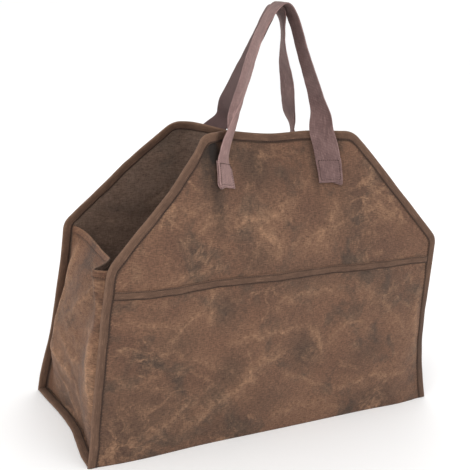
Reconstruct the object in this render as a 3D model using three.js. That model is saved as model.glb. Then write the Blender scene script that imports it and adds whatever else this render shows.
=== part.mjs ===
// Canvas log carrier: a trapezoid tote of waxed canvas, open at the top, with bound
// edges, two folded end gussets, a sewn band across the front and two webbing handles.
// Millimetres, +Z up, front panel towards -Y, +X to the right.
// The origin is under the middle of the bag, on the surface that it stands on.

import * as THREE from "three";
import { mergeVertices } from "three/addons/utils/BufferGeometryUtils.js";

// Driving dimensions of the body
const baseLength = 600;
const shoulderLength = 548;
const topLength = 240;
const shoulderHeight = 288;
const bodyHeight = 455;
const baseDepth = 230;
const shoulderDepth = 212;
const topDepth = 92;
const shoulderRadius = 34;
const topInnerRadius = 16;

// Cloth, tape and webbing
const canvasWall = 1.8;
const tapeWall = 1;
const tapeWidth = 12.5;
const hemHeight = 11;
const hemWall = 3;
const gussetDrop = 5;
const bandDrop = 30;
const webbingWall = 2.2;
const webbingWidth = 38;

// Handles
const handleSpread = 176;
const handlePeak = 635;
const archShift = 10;
const patchDrop = 41;
const patchLength = 36;
const archOffset = 18;
const nestGap = 2.3;

// Clearances between pieces that touch on the real bag
const seamGap = 0.3;
const patchGap = 0.6;
const seamStand = 4;
const floorLift = 0.4;

// Mesh steps
const columns = 22;
const sideSteps = 7;
const slantSteps = 6;
const shoulderArcSteps = 3;
const topArcSteps = 4;
const baseRows = 10;
const strapAcross = 4;
const strapStepsPerSpan = 2;

// Half steps for slopes, along the cloth in millimetres and across a gusset as a
// share of its depth, and the distance under which two corners are one
const slopeStep = 0.5;
const slopeShare = 0.004;
const sameCorner = 1e-4;

// Sizes worked out from the driving dimensions
const topRadius = tapeWidth + topInnerRadius;
const bandTop = shoulderHeight - bandDrop;
const gussetTop = shoulderHeight - gussetDrop;
const halfWall = canvasWall / 2;
const endLift = floorLift + tapeWall + seamGap;
const gussetFoot = endLift + canvasWall + seamGap;
const patchTop = bodyHeight - patchDrop;
const patchBottom = patchTop - patchLength;

const FRONT = -1;
const BACK = 1;
const LEFT = -1;
const RIGHT = 1;
const FRONT_LEGS = ["frontLeft", "frontRight"];
const BACK_LEGS = ["backLeft", "backRight"];

// Dents and bulges of each panel. across: place as a share of half the base length,
// up: place as a share of the body height, wide and tall: reach as shares of the same
// two sizes, out: height of the bulge as a share of the base depth, in where negative.
const FRONT_DENTS = [
  { across: -0.8, up: 0.02, wide: 0.3, tall: 0.16, out: 0.035 },
  { across: -0.1, up: 0.3, wide: 0.6, tall: 0.35, out: 0.03 },
  { across: 1.0, up: 0.24, wide: 0.13, tall: 0.2, out: -0.06 },
  { across: 0.8, up: 0.22, wide: 0.16, tall: 0.24, out: 0.022 },
  { across: -0.62, up: 0.62, wide: 0.2, tall: 0.14, out: 0.02 },
  { across: 0.1, up: 0.72, wide: 0.24, tall: 0.14, out: -0.018 },
];
const BACK_DENTS = [
  { across: 0.1, up: 0.3, wide: 0.6, tall: 0.35, out: 0.03 },
  { across: -0.98, up: 0.02, wide: 0.16, tall: 0.14, out: 0.03 },
  { across: 0.6, up: 0.1, wide: 0.3, tall: 0.2, out: 0.02 },
  { across: -0.2, up: 0.7, wide: 0.26, tall: 0.14, out: -0.02 },
];

// Sideways sets of each panel's edge, in the same columns, out as a share of half the
// base length and away from the middle of the bag.
const FRONT_PULLS = [
  { across: 1.0, up: 0.22, wide: 0.35, tall: 0.2, out: -0.03 },
  { across: -0.7, up: 0.78, wide: 0.3, tall: 0.14, out: -0.012 },
];
const BACK_PULLS = [
  { across: -1.0, up: 0.0, wide: 0.35, tall: 0.2, out: 0.035 },
];

// Settling of the cloth downwards, in the same columns, out as a share of the body
// height and up where positive: the rim sags between the handles, and the band sags
// towards the left.
const FRONT_SETTLES = [
  { across: 0.0, up: 1.0, wide: 0.24, tall: 0.1, out: -0.02 },
  { across: -0.85, up: 0.54, wide: 0.55, tall: 0.1, out: -0.011 },
];
const BACK_SETTLES = [
  { across: 0.03, up: 1.0, wide: 0.26, tall: 0.1, out: -0.05 },
  { across: -0.46, up: 1.0, wide: 0.16, tall: 0.16, out: -0.011 },
];

// Folds of each gusset. along: share of the way from the back panel to the front one,
// then how far the cloth stands out of the flat end, as shares of the shoulder depth,
// at the hem, in the upper half, at the belly and at the foot.
const LEFT_FOLDS = [
  { along: 0.0, hem: 0.0, upper: 0.0, belly: 0.0, foot: 0.0 },
  { along: 0.12, hem: -0.035, upper: 0.04, belly: 0.085, foot: -0.012 },
  { along: 0.36, hem: -0.055, upper: 0.02, belly: 0.06, foot: -0.04 },
  { along: 0.58, hem: -0.06, upper: -0.035, belly: 0.03, foot: -0.045 },
  { along: 0.7, hem: -0.05, upper: -0.02, belly: 0.05, foot: -0.03 },
  { along: 0.8, hem: 0.03, upper: 0.02, belly: 0.075, foot: -0.015 },
  { along: 0.91, hem: 0.13, upper: 0.08, belly: 0.065, foot: 0.0 },
  { along: 1.0, hem: 0.0, upper: 0.0, belly: 0.0, foot: 0.0 },
];
const RIGHT_FOLDS = [
  { along: 0.0, hem: 0.0, upper: 0.0, belly: 0.0, foot: 0.0 },
  { along: 0.14, hem: 0.055, upper: 0.05, belly: 0.055, foot: 0.0 },
  { along: 0.32, hem: -0.02, upper: 0.02, belly: 0.045, foot: -0.02 },
  { along: 0.5, hem: -0.085, upper: -0.06, belly: 0.0, foot: -0.035 },
  { along: 0.68, hem: -0.03, upper: 0.0, belly: 0.03, foot: -0.02 },
  { along: 0.86, hem: 0.05, upper: 0.045, belly: 0.045, foot: 0.0 },
  { along: 1.0, hem: 0.0, upper: 0.0, belly: 0.0, foot: 0.0 },
];

// Distance of each sewn patch from the middle of the bag, as a share of half the spread.
const PATCHES = { frontLeft: 1.09, frontRight: 0.92, backLeft: 0.85, backRight: 1.08 };

// Legs of the handles above the bag. rise: share of the way from the top of the sewn
// patch to the peak, drift: share of the way from the panel's plane to the arch, and
// each leg's distance from the middle of the bag as a share of half the spread.
const LEG_ROUTE = [
  { rise: 0.3, drift: 0.16, frontLeft: 0.74, frontRight: 0.86, backLeft: 0.59, backRight: 0.74 },
  { rise: 0.39, drift: 0.32, frontLeft: 0.65, frontRight: 0.8, backLeft: 0.52, backRight: 0.66 },
  { rise: 0.51, drift: 0.5, frontLeft: 0.535, frontRight: 0.7, backLeft: 0.405, backRight: 0.55 },
  { rise: 0.635, drift: 0.7, frontLeft: 0.427, frontRight: 0.59, backLeft: 0.29, backRight: 0.43 },
  { rise: 0.765, drift: 0.86, frontLeft: 0.3, frontRight: 0.48, backLeft: 0.165, backRight: 0.345 },
  { rise: 0.885, drift: 0.96, frontLeft: 0.148, frontRight: 0.37, backLeft: 0.045, backRight: 0.28 },
  { rise: 0.965, drift: 1.0, frontLeft: 0.01, frontRight: 0.24, backLeft: -0.04, backRight: 0.2 },
];

// Turn of each leg from flat on the panel, as a share of a quarter turn.
const LEG_TURNS = [
  { rise: 0.3, frontLeft: 0.86, frontRight: 0.84, backLeft: 0.9, backRight: 0.94 },
  { rise: 0.39, frontLeft: 0.94, frontRight: 0.9, backLeft: 0.98, backRight: 1.0 },
  { rise: 0.51, frontLeft: 0.97, frontRight: 0.93, backLeft: 1.0, backRight: 0.99 },
  { rise: 0.635, frontLeft: 1.02, frontRight: 0.99, backLeft: 1.0, backRight: 0.88 },
  { rise: 0.765, frontLeft: 0.97, frontRight: 1.04, backLeft: 1.0, backRight: 0.78 },
  { rise: 0.885, frontLeft: 0.95, frontRight: 1.04, backLeft: 1.0, backRight: 0.84 },
  { rise: 0.965, frontLeft: 1.0, frontRight: 1.0, backLeft: 1.0, backRight: 1.0 },
];

// Curl of the panels' upper part around each handle: the cloth beyond the handle
// stands forward, and the cloth between the handles lies back. It fades out over a
// share of the body height.
const curlDepth = 20;
const curlReach = 20;
const curlFade = 0.34;

// Power of the panels' lean above the shoulders, and the levels of the fold tables'
// middle columns as shares of the gusset's height.
const leanPower = 1.25;
const bellyLevel = 0.36;
const upperLevel = 0.74;

// Small helpers

const mix = THREE.MathUtils.lerp;
const vector = (x, y, z) => new THREE.Vector3(x, y, z);

function smooth(value) {
  const t = THREE.MathUtils.clamp(value, 0, 1);
  return t * t * (3 - 2 * t);
}

// Smooth curve through the rows of a table, read at one place along it.
function readTable(rows, key, column, place) {
  let index = rows.findIndex((row) => row[key] >= place);
  if (index <= 0) {
    index = index === 0 ? 1 : rows.length - 1;
  }
  const at = (i) => rows[THREE.MathUtils.clamp(i, 0, rows.length - 1)];
  const before = at(index - 1);
  const after = at(index);
  const slope = (low, high) => (high[column] - low[column]) / Math.max(high[key] - low[key], 1e-9);
  const span = after[key] - before[key];
  const t = THREE.MathUtils.clamp((place - before[key]) / span, 0, 1);
  const start = slope(at(index - 2), after) * span;
  const end = slope(before, at(index + 1)) * span;
  const t2 = t * t;
  const t3 = t2 * t;
  return (
    (2 * t3 - 3 * t2 + 1) * before[column] +
    (t3 - 2 * t2 + t) * start +
    (3 * t2 - 2 * t3) * after[column] +
    (t3 - t2) * end
  );
}

function bumps(rows, x, z) {
  const half = baseLength / 2;
  let sum = 0;
  for (const row of rows) {
    const across = (x - row.across * half) / (row.wide * half);
    const up = (z - row.up * bodyHeight) / (row.tall * bodyHeight);
    sum += row.out * Math.exp(-across * across - up * up);
  }
  return sum;
}

// Closed body between two grids of points that face each other. Corners that fall
// together leave no triangle.
function slab(outer, inner) {
  const rows = outer.length;
  const count = outer[0].length;
  const points = [];
  const addQuad = (a, b, c, d) => {
    for (const triangle of [[a, b, c], [a, c, d]]) {
      const [p, q, r] = triangle;
      const sides = [p.distanceTo(q), q.distanceTo(r), r.distanceTo(p)];
      if (Math.min(...sides) >= sameCorner) {
        points.push(p, q, r);
      }
    }
  };
  for (let i = 0; i + 1 < rows; i += 1) {
    for (let j = 0; j + 1 < count; j += 1) {
      addQuad(outer[i][j], outer[i][j + 1], outer[i + 1][j + 1], outer[i + 1][j]);
      addQuad(inner[i + 1][j], inner[i + 1][j + 1], inner[i][j + 1], inner[i][j]);
    }
    addQuad(inner[i][0], outer[i][0], outer[i + 1][0], inner[i + 1][0]);
    addQuad(outer[i][count - 1], inner[i][count - 1], inner[i + 1][count - 1], outer[i + 1][count - 1]);
  }
  for (let j = 0; j + 1 < count; j += 1) {
    addQuad(inner[0][j], inner[0][j + 1], outer[0][j + 1], outer[0][j]);
    addQuad(outer[rows - 1][j], outer[rows - 1][j + 1], inner[rows - 1][j + 1], inner[rows - 1][j]);
  }
  return solidOf(points);
}

// Merged geometry of a triangle list, turned to face out.
function solidOf(points) {
  let volume = 0;
  for (let i = 0; i < points.length; i += 3) {
    volume += points[i].dot(points[i + 1].clone().cross(points[i + 2]));
  }
  if (volume < 0) {
    points.reverse();
  }
  const geometry = new THREE.BufferGeometry().setFromPoints(points);
  return mergeVertices(geometry, sameCorner);
}

// Outline of a panel's right half in its x and z, from the foot to the end of the
// top corner's arc, each point with the way inwards.
function outlineSide() {
  const foot = new THREE.Vector2(baseLength / 2, 0);
  const shoulder = new THREE.Vector2(shoulderLength / 2, shoulderHeight);
  const corner = new THREE.Vector2(topLength / 2, bodyHeight);
  const middle = new THREE.Vector2(0, bodyHeight);
  const shoulderArc = fillet(foot, shoulder, corner, shoulderRadius, shoulderArcSteps);
  const topArc = fillet(shoulder, corner, middle, topRadius, topArcSteps);
  const level = new THREE.Vector2(-1, 0);
  const sideAt = (height) => {
    const share = height / shoulderHeight;
    return { point: foot.clone().lerp(shoulder, share), inward: level };
  };
  const bandBottom = bandTop - tapeWidth;
  const list = [];
  for (let i = 0; i <= sideSteps; i += 1) {
    list.push(sideAt((bandBottom * i) / sideSteps));
  }
  list.push(sideAt(bandTop));
  list.push(...shoulderArc);
  const from = shoulderArc[shoulderArcSteps].point;
  const to = topArc[0].point;
  for (let i = 1; i < slantSteps; i += 1) {
    const point = from.clone().lerp(to, i / slantSteps);
    list.push({ point, inward: topArc[0].inward });
  }
  list.push(...topArc);
  return list;
}

// Arc that rounds the corner of a path, with the way to the arc's centre.
function fillet(before, corner, after, radius, steps) {
  const back = before.clone().sub(corner).normalize();
  const ahead = after.clone().sub(corner).normalize();
  const half = Math.acos(THREE.MathUtils.clamp(back.dot(ahead), -1, 1)) / 2;
  const centre = back.clone().add(ahead).normalize().multiplyScalar(radius / Math.sin(half)).add(corner);
  const start = back.clone().multiplyScalar(radius / Math.tan(half)).add(corner).sub(centre);
  const end = ahead.clone().multiplyScalar(radius / Math.tan(half)).add(corner).sub(centre);
  const sweep = Math.PI - 2 * half;
  const turn = Math.sign(start.cross(end));
  const list = [];
  for (let i = 0; i <= steps; i += 1) {
    const way = start.clone().rotateAround(new THREE.Vector2(), (turn * sweep * i) / steps);
    list.push({ point: way.clone().add(centre), inward: way.normalize().negate() });
  }
  return list;
}

const sideOutline = outlineSide();
const bandRow = sideSteps;
const topRow = sideOutline.length - 1;

// Front or back panel as a cloth surface, y worked out from x and z.
class Panel {
  constructor(facing, legNames, dents, pulls, settles) {
    this.facing = facing;
    this.legNames = legNames;
    this.dents = dents;
    this.pulls = pulls;
    this.settles = settles;
  }

  // Name of one side's leg in the tables.
  leg(side) {
    return this.legNames[side === LEFT ? 0 : 1];
  }

  // Distance of one side's patch from the middle of the bag.
  patchReach(side) {
    return (handleSpread / 2) * PATCHES[this.leg(side)];
  }

  // Half of the bag's depth at one height.
  static halfDepth(z) {
    if (z < shoulderHeight) {
      return mix(baseDepth, shoulderDepth, smooth(z / shoulderHeight)) / 2;
    }
    const share = (z - shoulderHeight) / (bodyHeight - shoulderHeight);
    return mix(shoulderDepth, topDepth, Math.pow(share, leanPower)) / 2;
  }

  // Curl of the cloth around the handles, out where positive.
  curl(x, z) {
    const fadeHeight = bodyHeight * curlFade;
    const strength = smooth((z - bodyHeight + fadeHeight) / fadeHeight);
    const beyond = Math.abs(x) - this.patchReach(x < 0 ? LEFT : RIGHT);
    return curlDepth * strength * Math.tanh(beyond / curlReach);
  }

  // Point in the middle of the cloth.
  mid(x, z) {
    const away = x < 0 ? LEFT : RIGHT;
    const pulled = x + away * (baseLength / 2) * bumps(this.pulls, x, z);
    const out = Panel.halfDepth(z) + baseDepth * bumps(this.dents, x, z) + this.curl(x, z);
    const settled = z + bodyHeight * bumps(this.settles, x, z);
    return vector(pulled, this.facing * out, settled);
  }

  // Way out of the cloth at one place.
  normal(x, z) {
    const across = this.mid(x + slopeStep, z).sub(this.mid(x - slopeStep, z));
    const up = this.mid(x, z + slopeStep).sub(this.mid(x, z - slopeStep));
    return across.cross(up).normalize().multiplyScalar(-this.facing);
  }

  // Point that stands out of the cloth's middle by a given lift.
  proud(x, z, lift) {
    return this.mid(x, z).addScaledVector(this.normal(x, z), lift);
  }

  // Places of the grid's knots in x and z: row by row, with the edge, the line where
  // the tape ends, the knots between, and the same on the other side.
  knots() {
    const rows = [];
    for (const { point, inward } of sideOutline) {
      const inset = point.clone().addScaledVector(inward, tapeWidth);
      const row = [[-point.x, point.y]];
      for (let j = 0; j <= columns; j += 1) {
        row.push([mix(-inset.x, inset.x, j / columns), inset.y]);
      }
      row.push([point.x, point.y]);
      rows.push(row);
    }
    const last = rows[topRow];
    const rim = last.slice(1, -1).map(([x]) => [x, bodyHeight]);
    rows.push([rim[0], ...rim, rim[columns]]);
    return rows;
  }

  // Grid of points on one face, cut level at the floor.
  grid(lift) {
    const level = (point) => point.setZ(Math.max(point.z, 0));
    return this.knots().map((row) => row.map(([x, z]) => level(this.proud(x, z, lift))));
  }

  sheet() {
    return slab(this.grid(halfWall), this.grid(-halfWall));
  }

  // Knots along the bound edge, each with the knot where the tape ends.
  rim() {
    const rows = this.knots();
    const side = rows.slice(0, topRow + 1);
    const pairs = side.map((row) => ({ edge: row[0], inner: row[1] }));
    const top = rows[topRow + 1];
    for (let j = 2; j <= columns; j += 1) {
      pairs.push({ edge: top[j], inner: side[topRow][j] });
    }
    for (let k = topRow; k >= 0; k -= 1) {
      const row = side[k];
      pairs.push({ edge: row[row.length - 1], inner: row[row.length - 2] });
    }
    return Panel.liftFeet(pairs);
  }

  // The tape starts a little above the floor at both ends.
  static liftFeet(pairs) {
    const raise = (low, high) => {
      const share = floorLift / (high.edge[1] - low.edge[1]);
      const between = (a, b) => [mix(a[0], b[0], share), mix(a[1], b[1], share)];
      return { edge: between(low.edge, high.edge), inner: between(low.inner, high.inner) };
    };
    const last = pairs.length - 1;
    const list = pairs.slice();
    list[0] = raise(pairs[0], pairs[1]);
    list[last] = raise(pairs[last], pairs[last - 1]);
    return list;
  }

  // Tape folded over the edge, as a channel with one leg on each face.
  binding() {
    const outer = [];
    const inner = [];
    for (const { edge, inner: inset } of this.rim()) {
      const rimPoint = this.mid(...edge);
      const insetPoint = this.mid(...inset);
      const away = rimPoint.clone().sub(insetPoint).normalize();
      const normals = [this.normal(...edge), this.normal(...inset)];
      const section = channelSection(rimPoint, insetPoint, away, ...normals);
      outer.push(section.outer);
      inner.push(section.inner);
    }
    return slab(outer, inner);
  }

  // Point on a face of the faceted cloth near a gusset's seam, measured inwards from
  // the line where the tape ends, or outwards from it where negative.
  seat(side, height, distance, lift) {
    const rows = this.knots();
    const low = Math.max(0, rows.findIndex((row) => row[1][1] > height) - 1);
    const share = (height - rows[low][1][1]) / (rows[low + 1][1][1] - rows[low][1][1]);
    const onRow = (row) => {
      const fromEdge = side === LEFT ? row : row.slice().reverse();
      const [edge, first, second] = fromEdge;
      const target = distance < 0 ? edge : second;
      const reach = Math.abs(distance / (target[0] - first[0]));
      return this.proud(...first, lift).lerp(this.proud(...target, lift), reach);
    };
    return onRow(rows[low]).lerp(onRow(rows[low + 1]), share);
  }

  // Heights of the knots beside the gussets.
  seamHeights() {
    return this.knots().map((row) => row[1][1]);
  }
}

// Corners of a tape channel around an edge: the outer and the inner side, from one
// leg's end round the edge to the other leg's end.
function channelSection(edge, inset, away, edgeNormal, insetNormal) {
  const reach = halfWall + seamGap;
  const side = (lift, out) => [
    inset.clone().addScaledVector(insetNormal, lift),
    edge.clone().addScaledVector(edgeNormal, lift).addScaledVector(away, out),
    edge.clone().addScaledVector(edgeNormal, -lift).addScaledVector(away, out),
    inset.clone().addScaledVector(insetNormal, -lift),
  ];
  return { outer: side(reach + tapeWall, seamGap + tapeWall), inner: side(reach, seamGap) };
}

const frontPanel = new Panel(FRONT, FRONT_LEGS, FRONT_DENTS, FRONT_PULLS, FRONT_SETTLES);
const backPanel = new Panel(BACK, BACK_LEGS, BACK_DENTS, BACK_PULLS, BACK_SETTLES);

// Band of tape sewn across the front panel, between the two bound sides.
function frontBand() {
  const rows = frontPanel.knots().slice(bandRow, bandRow + 2);
  const face = (lift) => rows.map((row) => {
    const points = row.slice(1, -1).map(([x, z]) => frontPanel.proud(x, z, lift));
    const cell = points[0].distanceTo(points[1]);
    points[0].lerp(points[1], seamGap / cell);
    points[columns].lerp(points[columns - 1], seamGap / cell);
    return points;
  });
  const under = halfWall + seamGap;
  return slab(face(under + tapeWall), face(under));
}

// How far a gusset's cloth stands out of the flat end.
function foldOut(folds, along, height) {
  const read = (column) => shoulderDepth * readTable(folds, "along", column, along);
  const levels = [
    { up: 0, out: read("foot") },
    { up: bellyLevel, out: read("belly") },
    { up: upperLevel, out: read("upper") },
    { up: 1, out: read("hem") },
  ];
  const start = gussetFoot + seamStand;
  const share = THREE.MathUtils.clamp((height - start) / (gussetTop - start), 0, 1);
  return readTable(levels, "up", "out", share);
}

// Places of a gusset's columns as shares from the back to the front, with a short
// straight stand beside each seam and two columns in each fold.
function gussetColumns(folds) {
  const stand = seamStand / shoulderDepth;
  const list = [0, stand];
  for (let i = 1; i < folds.length; i += 1) {
    const middle = (folds[i - 1].along + folds[i].along) / 2;
    list.push(middle, folds[i].along);
  }
  list.pop();
  list.push(1 - stand, 1);
  return list;
}

// Folded end of the bag, between the two panels, with a thicker hem along its top.
class Gusset {
  constructor(side, folds) {
    this.side = side;
    this.folds = folds;
  }

  // Share of the way along the fold table at one place: the stands stay straight.
  stretch(along) {
    const stand = seamStand / shoulderDepth;
    return THREE.MathUtils.clamp((along - stand) / (1 - 2 * stand), 0, 1);
  }

  // Height of the cloth at one place: the hem sags a little between the seams.
  heightAt(along, height) {
    const sag = gussetDrop * Math.sin(Math.PI * along) * smooth(height / gussetTop);
    return height - sag;
  }

  // Point in the middle of the cloth, or off it towards the outside.
  mid(along, height, out = 0) {
    const z = this.heightAt(along, height);
    const inset = seamGap + hemWall / 2 - out;
    const lift = -(halfWall + seamGap);
    const back = backPanel.seat(this.side, z, inset, lift);
    const front = frontPanel.seat(this.side, z, inset, lift);
    const point = back.lerp(front, along);
    point.x += this.side * foldOut(this.folds, this.stretch(along), height);
    return point;
  }

  // The two faces at one place. Beside the seams the cloth's ends follow the panels.
  faces(along, height, wall) {
    if (along === 0 || along === 1) {
      return [this.mid(along, height, wall / 2), this.mid(along, height, -wall / 2)];
    }
    const ahead = this.mid(Math.min(along + slopeShare, 1), height);
    const behind = this.mid(Math.max(along - slopeShare, 0), height);
    const across = ahead.sub(behind);
    const below = Math.max(height - 2 * slopeStep, gussetFoot);
    const up = this.mid(along, height + 2 * slopeStep).sub(this.mid(along, below));
    const normal = across.cross(up).normalize();
    if (normal.x * this.side < 0) {
      normal.negate();
    }
    const middle = this.mid(along, height);
    return [
      middle.clone().addScaledVector(normal, wall / 2),
      middle.clone().addScaledVector(normal, -wall / 2),
    ];
  }

  levels() {
    const stand = gussetFoot + seamStand;
    const hem = gussetTop - hemHeight;
    const between = frontPanel.seamHeights().filter((z) => z > stand + seamStand && z < hem - seamStand);
    const heights = [gussetFoot, stand, ...between, hem];
    const list = heights.map((height) => ({ height, wall: canvasWall }));
    list.push({ height: hem + seamGap, wall: hemWall });
    list.push({ height: gussetTop, wall: hemWall });
    return list;
  }

  sheet() {
    const outer = [];
    const inner = [];
    for (const { height, wall } of this.levels()) {
      const faces = gussetColumns(this.folds).map((along) => this.faces(along, height, wall));
      outer.push(faces.map(([face]) => face));
      inner.push(faces.map(([, face]) => face));
    }
    return slab(outer, inner);
  }
}

const leftGusset = new Gusset(LEFT, LEFT_FOLDS);
const rightGusset = new Gusset(RIGHT, RIGHT_FOLDS);

// Bottom of the bag: flat on the floor, with both ends raised into the bound seams.
class Bottom {
  // End of the row at one share of the way from the front to the back: the edge and
  // the line where the tape ends, at the height of the middle of the cloth.
  end(gusset, share) {
    const { side } = gusset;
    const clear = 3 * seamGap + tapeWall;
    const lift = -(halfWall + clear);
    const bow = foldOut(gusset.folds, gusset.stretch(1 - share), 0) * side;
    const z = endLift + halfWall;
    const at = (out) => {
      const front = frontPanel.seat(side, z, -out, lift);
      const back = backPanel.seat(side, z, -out, lift);
      const point = front.lerp(back, share);
      point.x += bow;
      point.z = z;
      return point;
    };
    return { edge: at(tapeWidth), inset: at(0) };
  }

  rows() {
    const rows = [];
    const lift = -(halfWall + seamGap);
    const [frontKnots] = frontPanel.knots();
    for (let i = 0; i <= baseRows; i += 1) {
      const share = i / baseRows;
      const left = this.end(leftGusset, share);
      const right = this.end(rightGusset, share);
      const row = [left.edge, left.inset];
      for (let j = 2; j <= columns; j += 1) {
        const [x, z] = frontKnots[j];
        const point = frontPanel.proud(x, z, lift).lerp(backPanel.proud(x, z, lift), share);
        point.z = halfWall;
        row.push(point);
      }
      row.push(right.inset, right.edge);
      rows.push(row);
    }
    return rows;
  }

  sheet() {
    const face = (lift) => this.rows().map((row) => row.map((p) => vector(p.x, p.y, p.z + lift)));
    return slab(face(halfWall), face(-halfWall));
  }

  // Tape over the seam between the bottom and a gusset.
  binding(gusset) {
    const up = vector(0, 0, 1);
    const outer = [];
    const inner = [];
    for (let i = 0; i <= baseRows; i += 1) {
      const { edge, inset } = this.end(gusset, i / baseRows);
      const section = channelSection(edge, inset, vector(gusset.side, 0, 0), up, up);
      outer.push(section.outer);
      inner.push(section.inner);
    }
    return slab(outer, inner);
  }
}

const bottom = new Bottom();

// Webbing handle: two ends folded under and sewn on the panel, two legs that turn
// edge on above the bag, and an arch where both handles lie side by side.
class Handle {
  constructor(panel, peak) {
    this.panel = panel;
    this.peak = peak;
    this.archY = (panel.facing * archOffset) / 2;
  }

  // Stations of the stretch that lies on the panel: height, thickness and place.
  sewn(side) {
    const free = bodyHeight + tapeWall + seamStand;
    const under = halfWall + patchGap;
    const rows = [
      { z: patchBottom, wall: 2 * webbingWall, lift: under },
      { z: (patchBottom + patchTop) / 2, wall: 2 * webbingWall, lift: under },
      { z: patchTop, wall: 2 * webbingWall, lift: under },
      { z: patchTop + seamGap, wall: webbingWall, lift: under + webbingWall },
      { z: (patchTop + free) / 2, wall: webbingWall, lift: under + webbingWall },
      { z: free, wall: webbingWall, lift: under + webbingWall },
    ];
    return rows.map((row) => ({ ...row, x: this.placeAt(side, row.z) }));
  }

  // Place of a leg's middle in x while it is still beside the panel.
  placeAt(side, z) {
    const rise = Math.max(0, (z - patchTop) / (this.peak - patchTop));
    const [first] = LEG_ROUTE;
    const half = handleSpread / 2;
    const share = rise / first.rise;
    const above = half * first[this.panel.leg(side)];
    return side * mix(this.panel.patchReach(side), above, (smooth(share) + share) / 2);
  }

  // Section of the sewn stretch: its back face follows the panel's cloth.
  sewnSection(row) {
    const { panel } = this;
    const along = this.sewnWay(row, 1);
    const outer = [];
    const inner = [];
    for (let i = 0; i <= strapAcross; i += 1) {
      const across = webbingWidth * (i / strapAcross - 0.5);
      const x = row.x + across * along.x;
      const z = Math.min(row.z, bodyHeight);
      const base = panel.mid(x, z);
      const normal = panel.normal(row.x, z);
      base.z = row.z;
      outer.push(base.clone().addScaledVector(normal, row.lift + row.wall));
      inner.push(base.clone().addScaledVector(normal, row.lift));
    }
    return { outer, inner };
  }

  // Centre line and turn of the free stretch, from one panel top over the arch to
  // the other, with the width's way kept continuous.
  freeStations() {
    const half = handleSpread / 2;
    const legs = [LEFT, RIGHT].map((side) => {
      const name = this.panel.leg(side);
      const rows = this.sewn(side);
      const start = this.sewnCentre(rows[rows.length - 1]);
      return LEG_ROUTE.map((station) => {
        const angle = (Math.PI / 2) * readTable(LEG_TURNS, "rise", name, station.rise);
        const way = vector(Math.cos(angle), side * this.panel.facing * Math.sin(angle), 0);
        return {
          centre: vector(
            side * half * station[name],
            mix(start.y, this.archY, station.drift),
            mix(patchTop, this.peak, station.rise),
          ),
          way: way.multiplyScalar(-side),
        };
      });
    });
    const top = {
      centre: vector(archShift, this.archY, this.peak),
      way: vector(0, -this.panel.facing, 0),
    };
    return [...legs[0], top, ...legs[1].reverse()];
  }

  sewnCentre(row) {
    return this.panel.proud(row.x, Math.min(row.z, bodyHeight), row.lift + row.wall / 2).setZ(row.z);
  }

  // Section of the free stretch, square to its centre line.
  freeSection(centre, tangent, way) {
    const width = way.clone().addScaledVector(tangent, -way.dot(tangent)).normalize();
    const normal = width.clone().cross(tangent).multiplyScalar((-this.panel.facing * webbingWall) / 2);
    const outer = [];
    const inner = [];
    for (let i = 0; i <= strapAcross; i += 1) {
      const point = centre.clone().addScaledVector(width, webbingWidth * (i / strapAcross - 0.5));
      outer.push(point.clone().add(normal));
      inner.push(point.sub(normal));
    }
    return { outer, inner };
  }

  sheet() {
    const left = this.sewn(LEFT);
    const right = this.sewn(RIGHT).reverse();
    const free = this.freeStations();
    const ends = [this.sewnCentre(left[left.length - 1]), this.sewnCentre(right[0])];
    const route = [ends[0], ...free.map(({ centre }) => centre), ends[1]];
    const curve = new THREE.CatmullRomCurve3(route, false, "centripetal");
    const sections = left.map((row) => this.sewnSection(row));
    const last = route.length - 1;
    const firstWay = this.sewnWay(left[left.length - 1], 1);
    const ways = [firstWay, ...free.map(({ way }) => way), this.sewnWay(right[0], -1)];
    for (let i = 1; i < last * strapStepsPerSpan; i += 1) {
      const place = i / strapStepsPerSpan;
      const span = Math.floor(place);
      const way = ways[span].clone().lerp(ways[span + 1], place - span).normalize();
      sections.push(this.freeSection(curve.getPoint(place / last), curve.getTangent(place / last), way));
    }
    for (const row of right) {
      const { outer, inner } = this.sewnSection(row);
      sections.push({ outer: outer.reverse(), inner: inner.reverse() });
    }
    return slab(sections.map(({ outer }) => outer), sections.map(({ inner }) => inner));
  }

  // Way of the width where a sewn stretch ends, along the panel's cloth.
  sewnWay(row, sign) {
    const z = Math.min(row.z, bodyHeight);
    const along = this.panel.mid(row.x + 1, z).sub(this.panel.mid(row.x - 1, z));
    return along.normalize().multiplyScalar(sign);
  }
}

// The back handle's arch nests under the front one's.
const nestedPeak = handlePeak - webbingWall - nestGap;
const frontHandle = new Handle(frontPanel, handlePeak);
const backHandle = new Handle(backPanel, nestedPeak);

// Finishes

const canvas = { color: "#765c48", roughness: 0.72, metalness: 0 };
const gussetCanvas = { color: "#80624c", roughness: 0.72, metalness: 0 };
const tape = { color: "#7a6452", roughness: 0.8, metalness: 0 };
const webbing = { color: "#7a6260", roughness: 0.85, metalness: 0 };

const carrier = new THREE.Group();

function add(name, geometry, finish) {
  const mesh = new THREE.Mesh(geometry, new THREE.MeshStandardMaterial(finish));
  mesh.name = name;
  carrier.add(mesh);
}

add("front_panel", frontPanel.sheet(), canvas);
add("back_panel", backPanel.sheet(), canvas);
add("bottom_panel", bottom.sheet(), canvas);
add("left_gusset", leftGusset.sheet(), gussetCanvas);
add("right_gusset", rightGusset.sheet(), gussetCanvas);
add("front_binding", frontPanel.binding(), tape);
add("back_binding", backPanel.binding(), tape);
add("left_base_binding", bottom.binding(leftGusset), tape);
add("right_base_binding", bottom.binding(rightGusset), tape);
add("front_band", frontBand(), tape);
add("front_handle", frontHandle.sheet(), webbing);
add("back_handle", backHandle.sheet(), webbing);

// The origin lies under the middle of the whole bag's outline.
const outline = new THREE.Box3().setFromObject(carrier);
const middle = outline.getCenter(new THREE.Vector3());
carrier.position.set(-middle.x, -middle.y, -outline.min.z);

export default carrier;
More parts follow.
